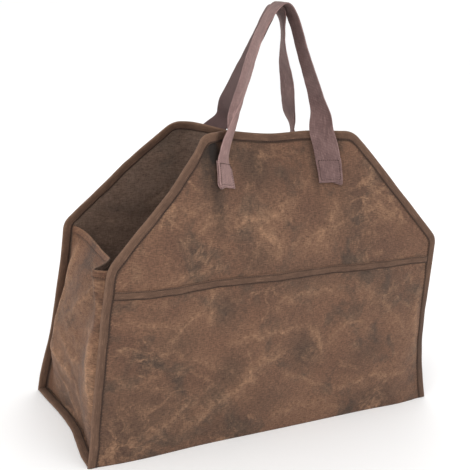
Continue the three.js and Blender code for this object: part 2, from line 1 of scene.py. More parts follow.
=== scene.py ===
"""Looks of the canvas log carrier: waxed cloth, bound edges, stitching and webbing.

Every piece is in metres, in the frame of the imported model. The cloth pieces repeat the
surfaces of the solids that they replace, with finer folds, creases and seams.
"""

from __future__ import annotations

import logging
import math
from collections.abc import Callable, Sequence
from dataclasses import dataclass, field
from enum import Enum

import bpy
import numpy as np
from mathutils import Matrix, Vector

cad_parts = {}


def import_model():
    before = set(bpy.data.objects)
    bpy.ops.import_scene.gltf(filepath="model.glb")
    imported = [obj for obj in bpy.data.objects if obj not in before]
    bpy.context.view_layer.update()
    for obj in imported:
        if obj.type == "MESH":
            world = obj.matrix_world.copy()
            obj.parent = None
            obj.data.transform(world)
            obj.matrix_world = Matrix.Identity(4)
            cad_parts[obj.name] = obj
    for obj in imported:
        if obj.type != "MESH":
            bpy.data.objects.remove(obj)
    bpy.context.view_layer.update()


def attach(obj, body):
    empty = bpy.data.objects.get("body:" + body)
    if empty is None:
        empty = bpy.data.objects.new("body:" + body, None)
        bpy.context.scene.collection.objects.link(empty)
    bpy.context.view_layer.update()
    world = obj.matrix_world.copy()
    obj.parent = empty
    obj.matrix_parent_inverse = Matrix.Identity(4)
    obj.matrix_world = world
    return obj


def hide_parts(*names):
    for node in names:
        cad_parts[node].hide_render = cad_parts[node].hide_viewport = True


log = logging.getLogger("log_carrier")
Array = np.ndarray
BODY = "root"


class Facing(Enum):
    """Which way a panel looks along the Y axis."""

    FRONT = -1
    BACK = 1


class Side(Enum):
    """One end of the bag along the X axis."""

    LEFT = -1
    RIGHT = 1


class Bond(Enum):
    """How the yarns of a woven cloth cross."""

    PLAIN = "plain"
    TWILL = "twill"
    RIBBED = "ribbed"


@dataclass(frozen=True)
class Sizes:
    """Driving dimensions of the bag in metres, as in the part's source."""

    base_length: float = 0.600
    shoulder_length: float = 0.548
    top_length: float = 0.240
    shoulder_height: float = 0.288
    body_height: float = 0.455
    base_depth: float = 0.230
    shoulder_depth: float = 0.212
    top_depth: float = 0.092
    shoulder_radius: float = 0.034
    top_inner_radius: float = 0.016
    canvas_wall: float = 0.0018
    tape_wall: float = 0.001
    tape_width: float = 0.0125
    hem_height: float = 0.011
    hem_wall: float = 0.003
    gusset_drop: float = 0.005
    band_drop: float = 0.030
    webbing_wall: float = 0.0022
    webbing_width: float = 0.0365
    rib_pitch: float = 0.0023
    handle_spread: float = 0.176
    handle_peak: float = 0.635
    arch_shift: float = 0.010
    patch_drop: float = 0.042
    patch_length: float = 0.031
    leg_foot: float = 0.414
    arch_offset: float = 0.018
    nest_gap: float = 0.0023
    seam_gap: float = 0.0003
    patch_gap: float = 0.0006
    seam_stand: float = 0.004
    floor_lift: float = 0.0004
    curl_depth: float = 0.018
    curl_reach: float = 0.0175
    slack_reach: float = 0.030
    curl_fade: float = 0.34
    lean_power: float = 1.25
    belly_level: float = 0.36
    upper_level: float = 0.74
    shift_x: float = 0.005264
    shift_y: float = 0.000355

    @property
    def half_wall(self) -> float:
        """Half of the cloth's thickness."""
        return self.canvas_wall / 2

    @property
    def top_radius(self) -> float:
        """Radius of the top corner's edge."""
        return self.tape_width + self.top_inner_radius

    @property
    def band_top(self) -> float:
        """Height of the band's upper edge."""
        return self.shoulder_height - self.band_drop

    @property
    def gusset_top(self) -> float:
        """Height of a gusset's hem at its seams."""
        return self.shoulder_height - self.gusset_drop

    @property
    def end_lift(self) -> float:
        """Height of the bottom cloth's underside at both ends."""
        return self.floor_lift + self.tape_wall + self.seam_gap

    @property
    def gusset_foot(self) -> float:
        """Height of a gusset's lower edge."""
        return self.end_lift + self.canvas_wall + self.seam_gap

    @property
    def patch_top(self) -> float:
        """Height of the upper edge of the sewn patches."""
        return self.body_height - self.patch_drop

    @property
    def patch_bottom(self) -> float:
        """Height of the lower edge of the sewn patches."""
        return self.patch_top - self.patch_length


SIZES = Sizes()


@dataclass(frozen=True)
class Swell:
    """A soft bump. Places and reaches are shares of half the base length and the body height."""

    across: float
    up: float
    wide: float
    tall: float
    out: float


@dataclass(frozen=True)
class Crease:
    """A fold line in the cloth through points given as shares of the piece's two sizes."""

    points: tuple[tuple[float, float], ...]
    height: float = 0.0008
    width: float = 0.004
    # Lighter tone along the fold, partly rubs in the wax and partly painted highlight on the ridge.
    light: float = 0.6


def spots(*rows: tuple[float, ...]) -> tuple[Swell, ...]:
    """Soft bumps from rows of across, up, wide, tall and out."""
    return tuple(Swell(*row) for row in rows)


def fold_lines(*rows: tuple) -> tuple[Crease, ...]:
    """Creases from rows of points, height, width and light."""
    return tuple(Crease(*row) for row in rows)


FRONT_DENTS = spots(
    (-0.8, 0.02, 0.3, 0.16, 0.035),
    (-0.1, 0.3, 0.6, 0.35, 0.03),
    (1.0, 0.24, 0.13, 0.2, -0.06),
    (0.8, 0.22, 0.16, 0.24, 0.022),
    (-0.62, 0.62, 0.2, 0.14, 0.02),
    (0.1, 0.72, 0.24, 0.14, -0.018),
    (-0.415, 0.96, 0.035, 0.13, -0.026),
)
BACK_DENTS = spots(
    (0.1, 0.3, 0.6, 0.35, 0.03),
    (-0.98, 0.02, 0.16, 0.14, 0.03),
    (0.6, 0.1, 0.3, 0.2, 0.02),
    (-0.2, 0.7, 0.26, 0.14, -0.02),
)
FRONT_PULLS = spots(
    (1.0, 0.22, 0.35, 0.2, -0.03),
    (-0.7, 0.78, 0.3, 0.14, -0.012),
)
BACK_PULLS = spots((-1.0, 0.0, 0.35, 0.2, 0.035))
FRONT_SETTLES = spots(
    (0.0, 1.0, 0.24, 0.1, -0.02),
    (-0.85, 0.54, 0.55, 0.1, -0.011),
)
BACK_SETTLES = spots(
    (0.03, 1.0, 0.26, 0.1, -0.05),
    (-0.46, 1.0, 0.16, 0.16, -0.011),
    (0.36, 1.0, 0.14, 0.11, -0.042),
)

# Folds of each gusset: place from the back to the front, then how far the cloth stands
# out at the foot, the belly, the upper half and the hem, as shares of the shoulder depth.
LEFT_FOLDS = (
    (0.0, 0.0, 0.0, 0.0, 0.0),
    (0.12, -0.012, 0.085, 0.04, -0.035),
    (0.36, -0.04, 0.06, 0.02, -0.055),
    (0.58, -0.045, 0.03, -0.035, -0.06),
    (0.7, -0.03, 0.05, -0.02, -0.05),
    (0.8, -0.015, 0.075, 0.02, 0.03),
    (0.91, 0.0, 0.065, 0.08, 0.13),
    (1.0, 0.0, 0.0, 0.0, 0.0),
)
RIGHT_FOLDS = (
    (0.0, 0.0, 0.0, 0.0, 0.0),
    (0.14, 0.0, 0.055, 0.05, 0.055),
    (0.32, -0.02, 0.045, 0.02, -0.02),
    (0.5, -0.035, 0.0, -0.06, -0.085),
    (0.68, -0.02, 0.03, 0.0, -0.03),
    (0.86, 0.0, 0.045, 0.045, 0.05),
    (1.0, 0.0, 0.0, 0.0, 0.0),
)

# Keys along every leg: rise from the patch to the peak, and share of the way from the rim
# to the arch in y.
LEG_KEYS = (0.3, 0.39, 0.51, 0.635, 0.765, 0.885, 0.965)
LEG_DRIFTS = (0.16, 0.32, 0.5, 0.7, 0.86, 0.96, 1.0)


@dataclass(frozen=True)
class Leg:
    """One leg of a handle.

    The patch and each reach are distances from the bag's middle as shares of half the
    spread. Each turn from flat on the panel is a share of a quarter turn, and the turn at
    the rim is in degrees. The nudge and the cup are in metres.
    """

    patch: float
    reach: tuple[float, ...]
    turn: tuple[float, ...]
    rim_turn: float
    nudge: float = 0.0
    cup: float = 0.0
    skew: float = 0.0
    # Painted light and painted shade on the leg's visible face.
    painted_light: float = 0.0
    shaded: float = 0.0


LEGS = {
    (Facing.FRONT, Side.LEFT): Leg(
        patch=1.09,
        reach=(0.74, 0.65, 0.535, 0.427, 0.3, 0.148, 0.01),
        turn=(0.87, 0.92, 0.93, 0.935, 0.92, 0.91, 0.97),
        rim_turn=62.0,
        nudge=0.002,
        cup=0.005,
        skew=-0.24,
        painted_light=0.75,
    ),
    (Facing.FRONT, Side.RIGHT): Leg(
        patch=0.92,
        reach=(0.845, 0.785, 0.69, 0.585, 0.48, 0.37, 0.24),
        turn=(0.8, 0.9, 0.96, 1.0, 1.03, 1.03, 1.0),
        rim_turn=47.0,
        cup=0.002,
        skew=0.09,
    ),
    (Facing.BACK, Side.LEFT): Leg(
        patch=0.85,
        reach=(0.6, 0.52, 0.405, 0.29, 0.165, 0.045, -0.04),
        turn=(0.9, 0.96, 1.0, 1.0, 1.0, 1.0, 1.0),
        rim_turn=68.0,
        nudge=0.012,
        shaded=0.8,
    ),
    (Facing.BACK, Side.RIGHT): Leg(
        patch=1.08,
        reach=(0.715, 0.645, 0.55, 0.43, 0.345, 0.28, 0.2),
        turn=(1.0, 1.04, 1.02, 0.9, 0.76, 0.8, 1.0),
        rim_turn=86.0,
        painted_light=0.35,
    ),
}


def smooth(value: Array | float) -> Array:
    """Soft step from 0 to 1."""
    t = np.clip(value, 0.0, 1.0)
    return t * t * (3 - 2 * t)


def mix(low: Array | float, high: Array | float, share: Array | float) -> Array:
    """Value between two others."""
    return low + (high - low) * share


def unit(vectors: Array) -> Array:
    """Vectors of length one."""
    return vectors / np.maximum(np.linalg.norm(vectors, axis=-1, keepdims=True), 1e-12)


def bell(gap: Array, width: float) -> Array:
    """Bell curve of height one over a gap."""
    return np.exp(-((gap / width) ** 2))


def ripple(along: Array, height: float, length: float, phase: float = 0.0) -> Array:
    """Sine wave of one height and wavelength along a path."""
    return height * np.sin(along * 2 * math.pi / length + phase)


def read_table(places: Sequence[float], values: Array, at: Array | float) -> Array:
    """Smooth curve through the rows of a table.

    Args:
        places: The rows' places, rising.
        values: One value a row, or one row of values for each place asked.
        at: The places asked.

    Returns:
        The values at the places asked.
    """
    keys = np.asarray(places, float)
    table = np.asarray(values, float)
    at = np.asarray(at, float)
    last = len(keys) - 1
    high = np.clip(np.searchsorted(keys, at, side="left"), 1, last)
    low = high - 1

    def row(index: Array) -> Array:
        """Values of the rows asked, one for each place."""
        if table.ndim == 1:
            return table[index]
        return np.take_along_axis(table, index[None, ...], 0)[0]

    before, after = np.maximum(low - 1, 0), np.minimum(high + 1, last)
    span = keys[high] - keys[low]
    t = np.clip((at - keys[low]) / span, 0.0, 1.0)
    start = (row(high) - row(before)) / (keys[high] - keys[before]) * span
    end = (row(after) - row(low)) / (keys[after] - keys[low]) * span
    t2, t3 = t * t, t**3
    return (
        (2 * t3 - 3 * t2 + 1) * row(low)
        + (t3 - 2 * t2 + t) * start
        + (3 * t2 - 2 * t3) * row(high)
        + (t3 - t2) * end
    )


def swells(rows: Sequence[Swell], x: Array, z: Array, sizes: Sizes = SIZES) -> Array:
    """Sum of soft bumps at one place of a panel.

    Args:
        rows: The soft bumps.
        x: Places across.
        z: Heights.
        sizes: The bag's sizes.

    Returns:
        The sum at each place.
    """
    half, tall = sizes.base_length / 2, sizes.body_height
    total = np.zeros(np.broadcast(x, z).shape)
    for row in rows:
        across = (x - row.across * half) / (row.wide * half)
        up = (z - row.up * tall) / (row.tall * tall)
        total = total + row.out * np.exp(-across * across - up * up)
    return total


class Waves:
    """Seeded soft noise made of plane waves, the same on every run."""

    def __init__(self, seed: int, wavelength: float, count: int = 14) -> None:
        """Draws the waves.

        Args:
            seed: Seed of the waves.
            wavelength: Mean wavelength in metres.
            count: Number of waves.
        """
        rng = np.random.default_rng(seed)
        turn = rng.uniform(0, 2 * math.pi, count)
        rate = 2 * math.pi / (wavelength * rng.uniform(0.7, 1.5, count))
        self.kx, self.kz = rate * np.cos(turn), rate * np.sin(turn)
        self.phase = rng.uniform(0, 2 * math.pi, count)

    def at(self, x: Array, z: Array) -> Array:
        """Noise of about unit size at the places given.

        Args:
            x: Places along the first axis.
            z: Places along the second.

        Returns:
            The noise.
        """
        total = np.zeros(np.broadcast(x, z).shape)
        for kx, kz, phase in zip(self.kx, self.kz, self.phase):
            total = total + np.sin(kx * x + kz * z + phase)
        return total / math.sqrt(len(self.phase) / 2)


@dataclass
class Relief:
    """Fine shape of one cloth: soft waves, sharp creases and the tones that they leave, part rubs
    in the wax and part painted highlight.
    """

    seed: int
    creases: Sequence[Crease]
    scale: tuple[float, float]
    calm: float = 1.0
    # Dark spots of dirt and painted shade, and spots of painted shade in folds.
    smudges_and_shade: Sequence[Swell] = ()
    fold_shade: Sequence[Swell] = ()
    long_height: float = 0.0013
    short_height: float = 0.0003
    line_bend: float = 0.0022
    core_tone: float = 0.4
    core_width: float = 0.6
    halo_tone: float = 0.5
    halo_width: float = 3.4

    def __post_init__(self) -> None:
        """Draws the waves."""
        self.long_waves = Waves(self.seed, 0.15)
        self.short_waves = Waves(self.seed + 1, 0.048)
        self.wobble = Waves(self.seed + 2, 0.03)

    def lines(self, x: Array, z: Array) -> tuple[Array, Array]:
        """Height and light tone that the creases give at the places asked, partly rubs in the wax
        and partly painted highlight on the ridges.

        Args:
            x: Places across.
            z: Heights.

        Returns:
            The height in metres, and the tone from 0 to 1.
        """
        height = np.zeros(np.broadcast(x, z).shape)
        tone = np.zeros_like(height)
        bent_x = x + self.line_bend * self.wobble.at(x, z)
        bent_z = z + self.line_bend * self.wobble.at(z, x)
        for crease in self.creases:
            points = np.array(crease.points) * np.array(self.scale)
            lengths = np.linalg.norm(np.diff(points, axis=0), axis=1)
            along = np.concatenate([[0.0], np.cumsum(lengths)])
            nearest = np.full(height.shape, np.inf)
            place = np.zeros_like(height)
            for k, (start, end) in enumerate(zip(points[:-1], points[1:])):
                way = end - start
                ahead = (bent_x - start[0]) * way[0] + (bent_z - start[1]) * way[1]
                t = np.clip(ahead / max(way @ way, 1e-12), 0.0, 1.0)
                gap = np.hypot(bent_x - start[0] - t * way[0], bent_z - start[1] - t * way[1])
                closer = gap < nearest
                nearest = np.where(closer, gap, nearest)
                place = np.where(closer, (along[k] + t * lengths[k]) / along[-1], place)
            fade = 1 - np.abs(2 * place - 1) ** 3
            height = height + crease.height * fade * bell(nearest, crease.width)
            core = self.core_tone * bell(nearest, self.core_width * crease.width)
            halo = self.halo_tone * np.exp(-((nearest / (self.halo_width * crease.width)) ** 1.5))
            tone = np.maximum(tone, crease.light * fade * (core + halo))
        return height, tone

    def shade(self, rows: Sequence[Swell], x: Array, z: Array) -> Array:
        """Strongest of the soft spots at the places asked.

        Args:
            rows: The soft bumps.
            x: Places across.
            z: Heights.

        Returns:
            The strength at each place.
        """
        total = np.zeros(np.broadcast(x, z).shape)
        wide, tall = self.scale
        for row in rows:
            across = (x - row.across * wide) / (row.wide * wide)
            up = (z - row.up * tall) / (row.tall * tall)
            total = np.maximum(total, row.out * np.exp(-across * across - up * up))
        return total

    def height(self, x: Array, z: Array) -> Array:
        """Height of the cloth's fine shape.

        Args:
            x: Places across.
            z: Heights.

        Returns:
            The height in metres.
        """
        broad = self.long_height * self.long_waves.at(x, z)
        narrow = self.short_height * self.short_waves.at(x, z)
        return self.calm * (broad + narrow) + self.lines(x, z)[0]


def stray_creases(
    seed: int, count: int, aspect: float, height: float, light: float
) -> tuple[Crease, ...]:
    """Short creases in random places, for cloth that the photo doesn't show.

    Args:
        seed: Seed of the random places.
        count: Number of creases.
        aspect: Height of the cloth for its width, to keep the lines even.
        height: Mean height of a crease in metres.
        light: Mean light tone of a crease, from rubs in the wax.

    Returns:
        The creases.
    """
    rng = np.random.default_rng(seed)
    found = []
    for _ in range(count):
        place = np.array([rng.uniform(-0.9, 0.9), rng.uniform(0.05, 0.95)])
        turn = rng.uniform(0, math.pi)
        points = [tuple(place)]
        for _ in range(3):
            turn += rng.normal(0, 0.45)
            step = rng.uniform(0.06, 0.14)
            place = place + np.array([math.cos(turn) * step, math.sin(turn) * step * aspect])
            points.append(tuple(place))
        size = rng.uniform(0.5, 1.3)
        tone = light * rng.uniform(0.5, 1.2)
        found.append(Crease(tuple(points), height * size, 0.0045 * size, tone))
    return tuple(found)


# The light tone of these creases is partly painted highlight, as on the bright ridge by the right
# edge.
FRONT_CREASES = fold_lines(
    (((-0.343, 0.712), (-0.213, 0.736), (-0.057, 0.741), (0.073, 0.802)), 0.0010, 0.0055, 0.75),
    (((0.04, 0.615), (0.097, 0.651), (0.197, 0.686), (0.367, 0.714)), 0.0010, 0.005, 0.6),
    (((-0.813, 0.721), (-0.723, 0.76), (-0.527, 0.782), (-0.357, 0.807)), 0.0008, 0.006, 0.4),
    (((-0.743, 0.552), (-0.65, 0.574), (-0.483, 0.587), (-0.29, 0.622)), 0.0008, 0.004, 0.5),
    (((-0.16, 0.75), (-0.13, 0.7), (-0.07, 0.66), (-0.05, 0.6)), 0.0010, 0.006, 0.8),
    (((0.29, 0.8), (0.27, 0.72), (0.2, 0.66), (0.16, 0.6)), 0.0008, 0.005, 0.6),
    (((-0.397, 0.567), (-0.41, 0.486), (-0.393, 0.4)), 0.0009, 0.0035, 0.8),
    (((-0.873, 0.475), (-0.737, 0.446), (-0.59, 0.429), (-0.477, 0.464)), 0.0008, 0.0045, 0.45),
    (((-0.757, 0.382), (-0.533, 0.319), (-0.307, 0.259), (-0.207, 0.193)), 0.0009, 0.005, 0.4),
    (((-0.32, 0.149), (-0.21, 0.209), (-0.117, 0.27), (0.073, 0.303)), 0.0012, 0.005, 0.7),
    (((0.123, 0.389), (0.22, 0.31), (0.247, 0.213)), 0.0008, 0.003, 0.75),
    (((-0.04, 0.224), (0.14, 0.176), (0.34, 0.095)), 0.0008, 0.004, 0.55),
    (((0.29, 0.112), (0.573, 0.138), (0.883, 0.123)), 0.0009, 0.0045, 0.55),
    (((-0.477, 0.044), (-0.427, 0.125), (-0.257, 0.171), (-0.17, 0.24)), 0.0022, 0.008, 0.6),
    (((-0.58, 0.02), (-0.507, 0.09), (-0.36, 0.14), (-0.28, 0.18)), 0.0020, 0.008, 0.45),
    (((-0.813, 0.035), (-0.673, 0.088), (-0.507, 0.149), (-0.367, 0.207)), 0.0020, 0.008, 0.5),
    (((0.347, 0.538), (0.547, 0.446), (0.73, 0.338), (0.873, 0.207)), 0.0009, 0.006, 0.45),
    (((-0.943, 0.316), (-0.827, 0.257), (-0.68, 0.235), (-0.497, 0.169)), 0.0008, 0.005, 0.35),
    (((-0.143, 0.413), (-0.007, 0.47), (0.187, 0.488), (0.413, 0.481)), 0.0007, 0.0045, 0.45),
    (((-0.35, 0.35), (-0.15, 0.36), (0.05, 0.37), (0.16, 0.36)), 0.0008, 0.005, 0.65),
    (((0.46, 0.826), (0.587, 0.738), (0.73, 0.684)), 0.0008, 0.005, 0.6),
    (((0.433, 0.015), (0.263, 0.077), (0.04, 0.079), (-0.1, 0.031)), 0.0012, 0.006, 0.45),
    (((-0.607, 0.686), (-0.477, 0.708), (-0.423, 0.749), (-0.22, 0.765)), 0.0008, 0.0055, 0.45),
    (((0.58, 0.312), (0.403, 0.365), (0.313, 0.336), (0.263, 0.266)), 0.0007, 0.0035, 0.55),
    (((0.9, 0.52), (0.86, 0.4), (0.88, 0.25), (0.93, 0.1)), 0.0014, 0.009, 0.5),
    (((-0.62, 0.33), (-0.6, 0.4), (-0.5, 0.45), (-0.4, 0.5)), 0.0006, 0.006, 0.5),
)
# Dark spots, partly dirt in the wax and partly painted shade in hollows of the cloth, such as the
# fold beside the left handle.
FRONT_SMUDGES_AND_SHADE = spots(
    (-0.133, 0.90, 0.11, 0.09, 0.75),
    (-0.42, 0.93, 0.05, 0.12, 1.0),
    (-0.37, 0.80, 0.05, 0.1, 0.6),
    (0.24, 0.90, 0.07, 0.08, 0.6),
    (0.137, 0.279, 0.1, 0.07, 0.75),
    (-0.29, 0.244, 0.08, 0.06, 0.7),
    (-0.587, 0.367, 0.12, 0.06, 0.45),
    (0.4, 0.72, 0.12, 0.12, 0.5),
    (-0.33, 0.46, 0.07, 0.06, 0.7),
    (-0.703, 0.147, 0.16, 0.08, 0.45),
    (0.1, 0.53, 0.22, 0.06, 0.5),
    (0.6, 0.04, 0.2, 0.08, 0.55),
    (-0.16, 0.62, 0.1, 0.07, 0.45),
    (0.62, 0.46, 0.12, 0.08, 0.5),
    (-0.3, 0.05, 0.16, 0.06, 0.5),
    (-0.75, 0.1, 0.3, 0.16, 0.5),
    (-0.1, 0.12, 0.14, 0.07, 0.35),
    (0.55, 0.24, 0.12, 0.06, 0.5),
)
# Painted shade in the folds beside the handles and along the rolled lower right edge.
FRONT_FOLD_SHADE = spots(
    (-0.375, 0.945, 0.036, 0.06, 1.7),
    (-0.385, 0.865, 0.026, 0.07, 1.0),
    (-0.36, 0.77, 0.022, 0.07, 0.4),
    (0.20, 0.88, 0.014, 0.09, 0.5),
    (0.965, 0.26, 0.028, 0.2, 0.6),
)
FRONT_SHADED_TAPE = spots(
    (0.99, 0.24, 0.06, 0.24, 0.5),
    (0.99, 0.5, 0.05, 0.1, 0.3),
)
# Painted shade of the left gusset's folds and hollows.
LEFT_PAINTED_SHADE = spots(
    (0.55, 0.78, 0.2, 0.16, 0.5),
    (0.78, 0.86, 0.12, 0.14, 0.6),
    (0.3, 0.62, 0.1, 0.2, 0.35),
    (0.35, 0.15, 0.2, 0.1, 0.5),
    (0.7, 0.2, 0.14, 0.12, 0.4),
    (0.55, 0.46, 0.14, 0.05, 0.35),
)
# The light tone of these ridges is painted highlight.
LEFT_CREASES = fold_lines(
    (
        ((0.13, 0.97), (0.1, 0.83), (0.1, 0.71), (0.11, 0.58), (0.13, 0.46), (0.13, 0.38)),
        0.0036,
        0.010,
        1.0,
    ),
    (((0.13, 0.42), (0.17, 0.35), (0.26, 0.31), (0.40, 0.28), (0.52, 0.26)), 0.0030, 0.008, 1.0),
    (((0.18, 0.48), (0.35, 0.413), (0.5, 0.375), (0.7, 0.37)), 0.0020, 0.008, 0.7),
    (((0.22, 0.56), (0.36, 0.50), (0.52, 0.47), (0.66, 0.5)), 0.0014, 0.008, 0.5),
    (((0.92, 0.2), (0.9, 0.35), (0.87, 0.5), (0.83, 0.7)), 0.0032, 0.011, 1.0),
    (((0.62, 0.88), (0.5, 0.75), (0.36, 0.62), (0.24, 0.52)), 0.0024, 0.009, 0.65),
    (((0.8, 0.72), (0.66, 0.6), (0.52, 0.54)), 0.0016, 0.008, 0.55),
    (((0.25, 0.22), (0.42, 0.13), (0.62, 0.03)), 0.0014, 0.006, 0.6),
    (((0.45, 0.3), (0.6, 0.2), (0.8, 0.12)), 0.0014, 0.006, 0.55),
    (((0.1, 0.2), (0.2, 0.1), (0.3, 0.02)), 0.0012, 0.006, 0.5),
    (((0.16, 0.3), (0.26, 0.2), (0.36, 0.15)), 0.0012, 0.006, 0.45),
)
RIGHT_CREASES = fold_lines(
    (((0.2, 0.97), (0.2, 0.8), (0.26, 0.6), (0.2, 0.42)), 0.0028, 0.011, 0.55),
    (((0.8, 0.95), (0.78, 0.75), (0.72, 0.6), (0.76, 0.4)), 0.0028, 0.011, 0.55),
    (((0.3, 0.45), (0.45, 0.35), (0.6, 0.36), (0.8, 0.3)), 0.0016, 0.008, 0.5),
    (((0.15, 0.3), (0.3, 0.2), (0.5, 0.05)), 0.0014, 0.007, 0.45),
    (((0.85, 0.25), (0.7, 0.15), (0.55, 0.05)), 0.0014, 0.007, 0.45),
)


def fillet(
    before: Array, corner: Array, after: Array, radius: float, steps: int
) -> tuple[Array, Array]:
    """Arc that rounds the corner of a path.

    Args:
        before: Point ahead of the corner.
        corner: The corner.
        after: Point behind the corner.
        radius: Radius of the arc.
        steps: Number of steps along it.

    Returns:
        The points of the arc and the way from each to the arc's centre.
    """
    back, ahead = unit(before - corner), unit(after - corner)
    half = math.acos(float(np.clip(back @ ahead, -1, 1))) / 2
    centre = unit(back + ahead) * radius / math.sin(half) + corner
    start = back * radius / math.tan(half) + corner - centre
    end = ahead * radius / math.tan(half) + corner - centre
    sweep = math.copysign(math.pi - 2 * half, start[0] * end[1] - start[1] * end[0])
    turns = np.linspace(0, sweep, steps + 1)
    cos, sin = np.cos(turns), np.sin(turns)
    ways = np.stack([start[0] * cos - start[1] * sin, start[0] * sin + start[1] * cos], 1)
    return ways + centre, -unit(ways)


@dataclass(frozen=True)
class Outline:
    """Edge of a panel's right half, from the foot to the end of the top corner's arc."""

    edge: Array
    inset: Array

    @classmethod
    def of(cls, sizes: Sizes, cell: float) -> Outline:
        """Outline with points about one cell apart.

        Args:
            sizes: The bag's sizes.
            cell: Distance between points, in metres.

        Returns:
            The outline.
        """
        foot = np.array([sizes.base_length / 2, 0.0])
        shoulder = np.array([sizes.shoulder_length / 2, sizes.shoulder_height])
        corner = np.array([sizes.top_length / 2, sizes.body_height])
        middle = np.array([0.0, sizes.body_height])
        low, low_in = fillet(foot, shoulder, corner, sizes.shoulder_radius, 8)
        top, top_in = fillet(shoulder, corner, middle, sizes.top_radius, 16)
        side_end = low[0, 1]
        heights = np.linspace(0, side_end, round(side_end / cell) + 1)[:-1]
        side = foot + (shoulder - foot) * (heights / sizes.shoulder_height)[:, None]
        count = round(float(np.linalg.norm(top[0] - low[-1])) / cell)
        shares = np.linspace(0, 1, count + 1)[1:-1]
        slant = low[-1] + (top[0] - low[-1]) * shares[:, None]
        level = np.tile([-1.0, 0.0], (len(side), 1))
        edge = np.concatenate([side, low, slant, top])
        inward = np.concatenate([level, low_in, np.tile(top_in[0], (len(slant), 1)), top_in])
        ease = smooth((edge[:, 1] - 0.8 * side_end) / (0.2 * side_end))[: len(side), None]
        inward[: len(side)] = unit(mix(level, low_in[0], ease))
        return cls(edge, edge + inward * sizes.tape_width)


@dataclass
class Panel:
    """Front or back panel as a cloth surface, y worked out from x and z."""

    facing: Facing
    dents: Sequence[Swell]
    pulls: Sequence[Swell]
    settles: Sequence[Swell]
    relief: Relief
    sizes: Sizes = SIZES
    foot_calm: float = 0.03

    def patch_reach(self, side: Side) -> float:
        """Distance of one side's handle patch from the middle of the bag."""
        return self.sizes.handle_spread / 2 * LEGS[(self.facing, side)].patch

    def half_depth(self, z: Array) -> Array:
        """Half of the bag's depth at one height.

        Args:
            z: Heights.

        Returns:
            Half of the depth at each height.
        """
        s = self.sizes
        low = mix(s.base_depth, s.shoulder_depth, smooth(z / s.shoulder_height)) / 2
        share = np.clip((z - s.shoulder_height) / (s.body_height - s.shoulder_height), 0, None)
        high = mix(s.shoulder_depth, s.top_depth, share**s.lean_power) / 2
        return np.where(z < s.shoulder_height, low, high)

    def curl(self, x: Array, z: Array) -> Array:
        """Curl of the cloth around the handles, out where positive.

        Args:
            x: Places across.
            z: Heights.

        Returns:
            The distance in metres.
        """
        s = self.sizes
        fade = s.body_height * s.curl_fade
        strength = smooth((z - s.body_height + fade) / fade)
        reach = np.where(x < 0, self.patch_reach(Side.LEFT), self.patch_reach(Side.RIGHT))
        t = (np.abs(x) - reach) / np.where(x < 0, s.curl_reach, s.slack_reach)
        return s.curl_depth * strength * t / (1 + np.abs(t) ** 3) ** (1 / 3)

    def mid(self, x: Array, z: Array) -> Array:
        """Points in the middle of the cloth.

        Args:
            x: Places across.
            z: Heights.

        Returns:
            The points.
        """
        s = self.sizes
        x, z = np.broadcast_arrays(np.asarray(x, float), np.asarray(z, float))
        away = np.where(x < 0, -1.0, 1.0)
        pulled = x + away * s.base_length / 2 * swells(self.pulls, x, z)
        out = self.half_depth(z) + s.base_depth * swells(self.dents, x, z) + self.curl(x, z)
        out = out + self.relief.height(x, z) * smooth(z / self.foot_calm)
        settled = z + s.body_height * swells(self.settles, x, z)
        return np.stack([pulled + s.shift_x, self.facing.value * out + s.shift_y, settled], -1)

    def normal(self, x: Array, z: Array, step: float = 0.0012) -> Array:
        """Way out of the cloth.

        Args:
            x: Places across.
            z: Heights.
            step: Distance to the places compared.

        Returns:
            Unit vectors.
        """
        across = self.mid(x + step, z) - self.mid(x - step, z)
        up = self.mid(x, z + step) - self.mid(x, z - step)
        return unit(np.cross(across, up)) * -self.facing.value

    def proud(self, x: Array, z: Array, lift: Array | float) -> Array:
        """Points that stand out of the cloth's middle."""
        return self.mid(x, z) + self.normal(x, z) * np.asarray(lift)[..., None]


@dataclass
class ClothMesh:
    """Closed body between two grids of points, with its cloth coordinates and marks."""

    name: str
    outer: Array
    inner: Array
    cloth: Array
    marks: Array
    reverse_side: float = 0.4
    reverse_marks: float = 0.6

    def build(self) -> bpy.types.Object:
        """Makes the mesh object, turned to face out.

        Returns:
            The object.
        """
        rows, cols = self.outer.shape[:2]
        count = rows * cols
        index = np.arange(count).reshape(rows, cols)
        far = index + count
        corners = [
            (index[:-1, :-1], index[:-1, 1:], index[1:, 1:], index[1:, :-1]),
            (far[1:, :-1], far[1:, 1:], far[:-1, 1:], far[:-1, :-1]),
            (far[:-1, 0], index[:-1, 0], index[1:, 0], far[1:, 0]),
            (index[:-1, -1], far[:-1, -1], far[1:, -1], index[1:, -1]),
            (far[0, :-1], far[0, 1:], index[0, 1:], index[0, :-1]),
            (index[-1, :-1], index[-1, 1:], far[-1, 1:], far[-1, :-1]),
        ]
        quads = [np.stack(group, -1).reshape(-1, 4) for group in corners]
        points = np.concatenate([self.outer.reshape(-1, 3), self.inner.reshape(-1, 3)])
        cloth = self.cloth.reshape(-1, 2)
        sides = (0.0, self.reverse_side)
        coords = np.concatenate([np.column_stack([cloth, np.full(count, side)]) for side in sides])
        marks = self.marks.reshape(-1, 3)
        layers = {"cloth": coords, "marks": np.concatenate([marks, marks * self.reverse_marks])}
        return make_object(self.name, points, np.concatenate(quads), layers)


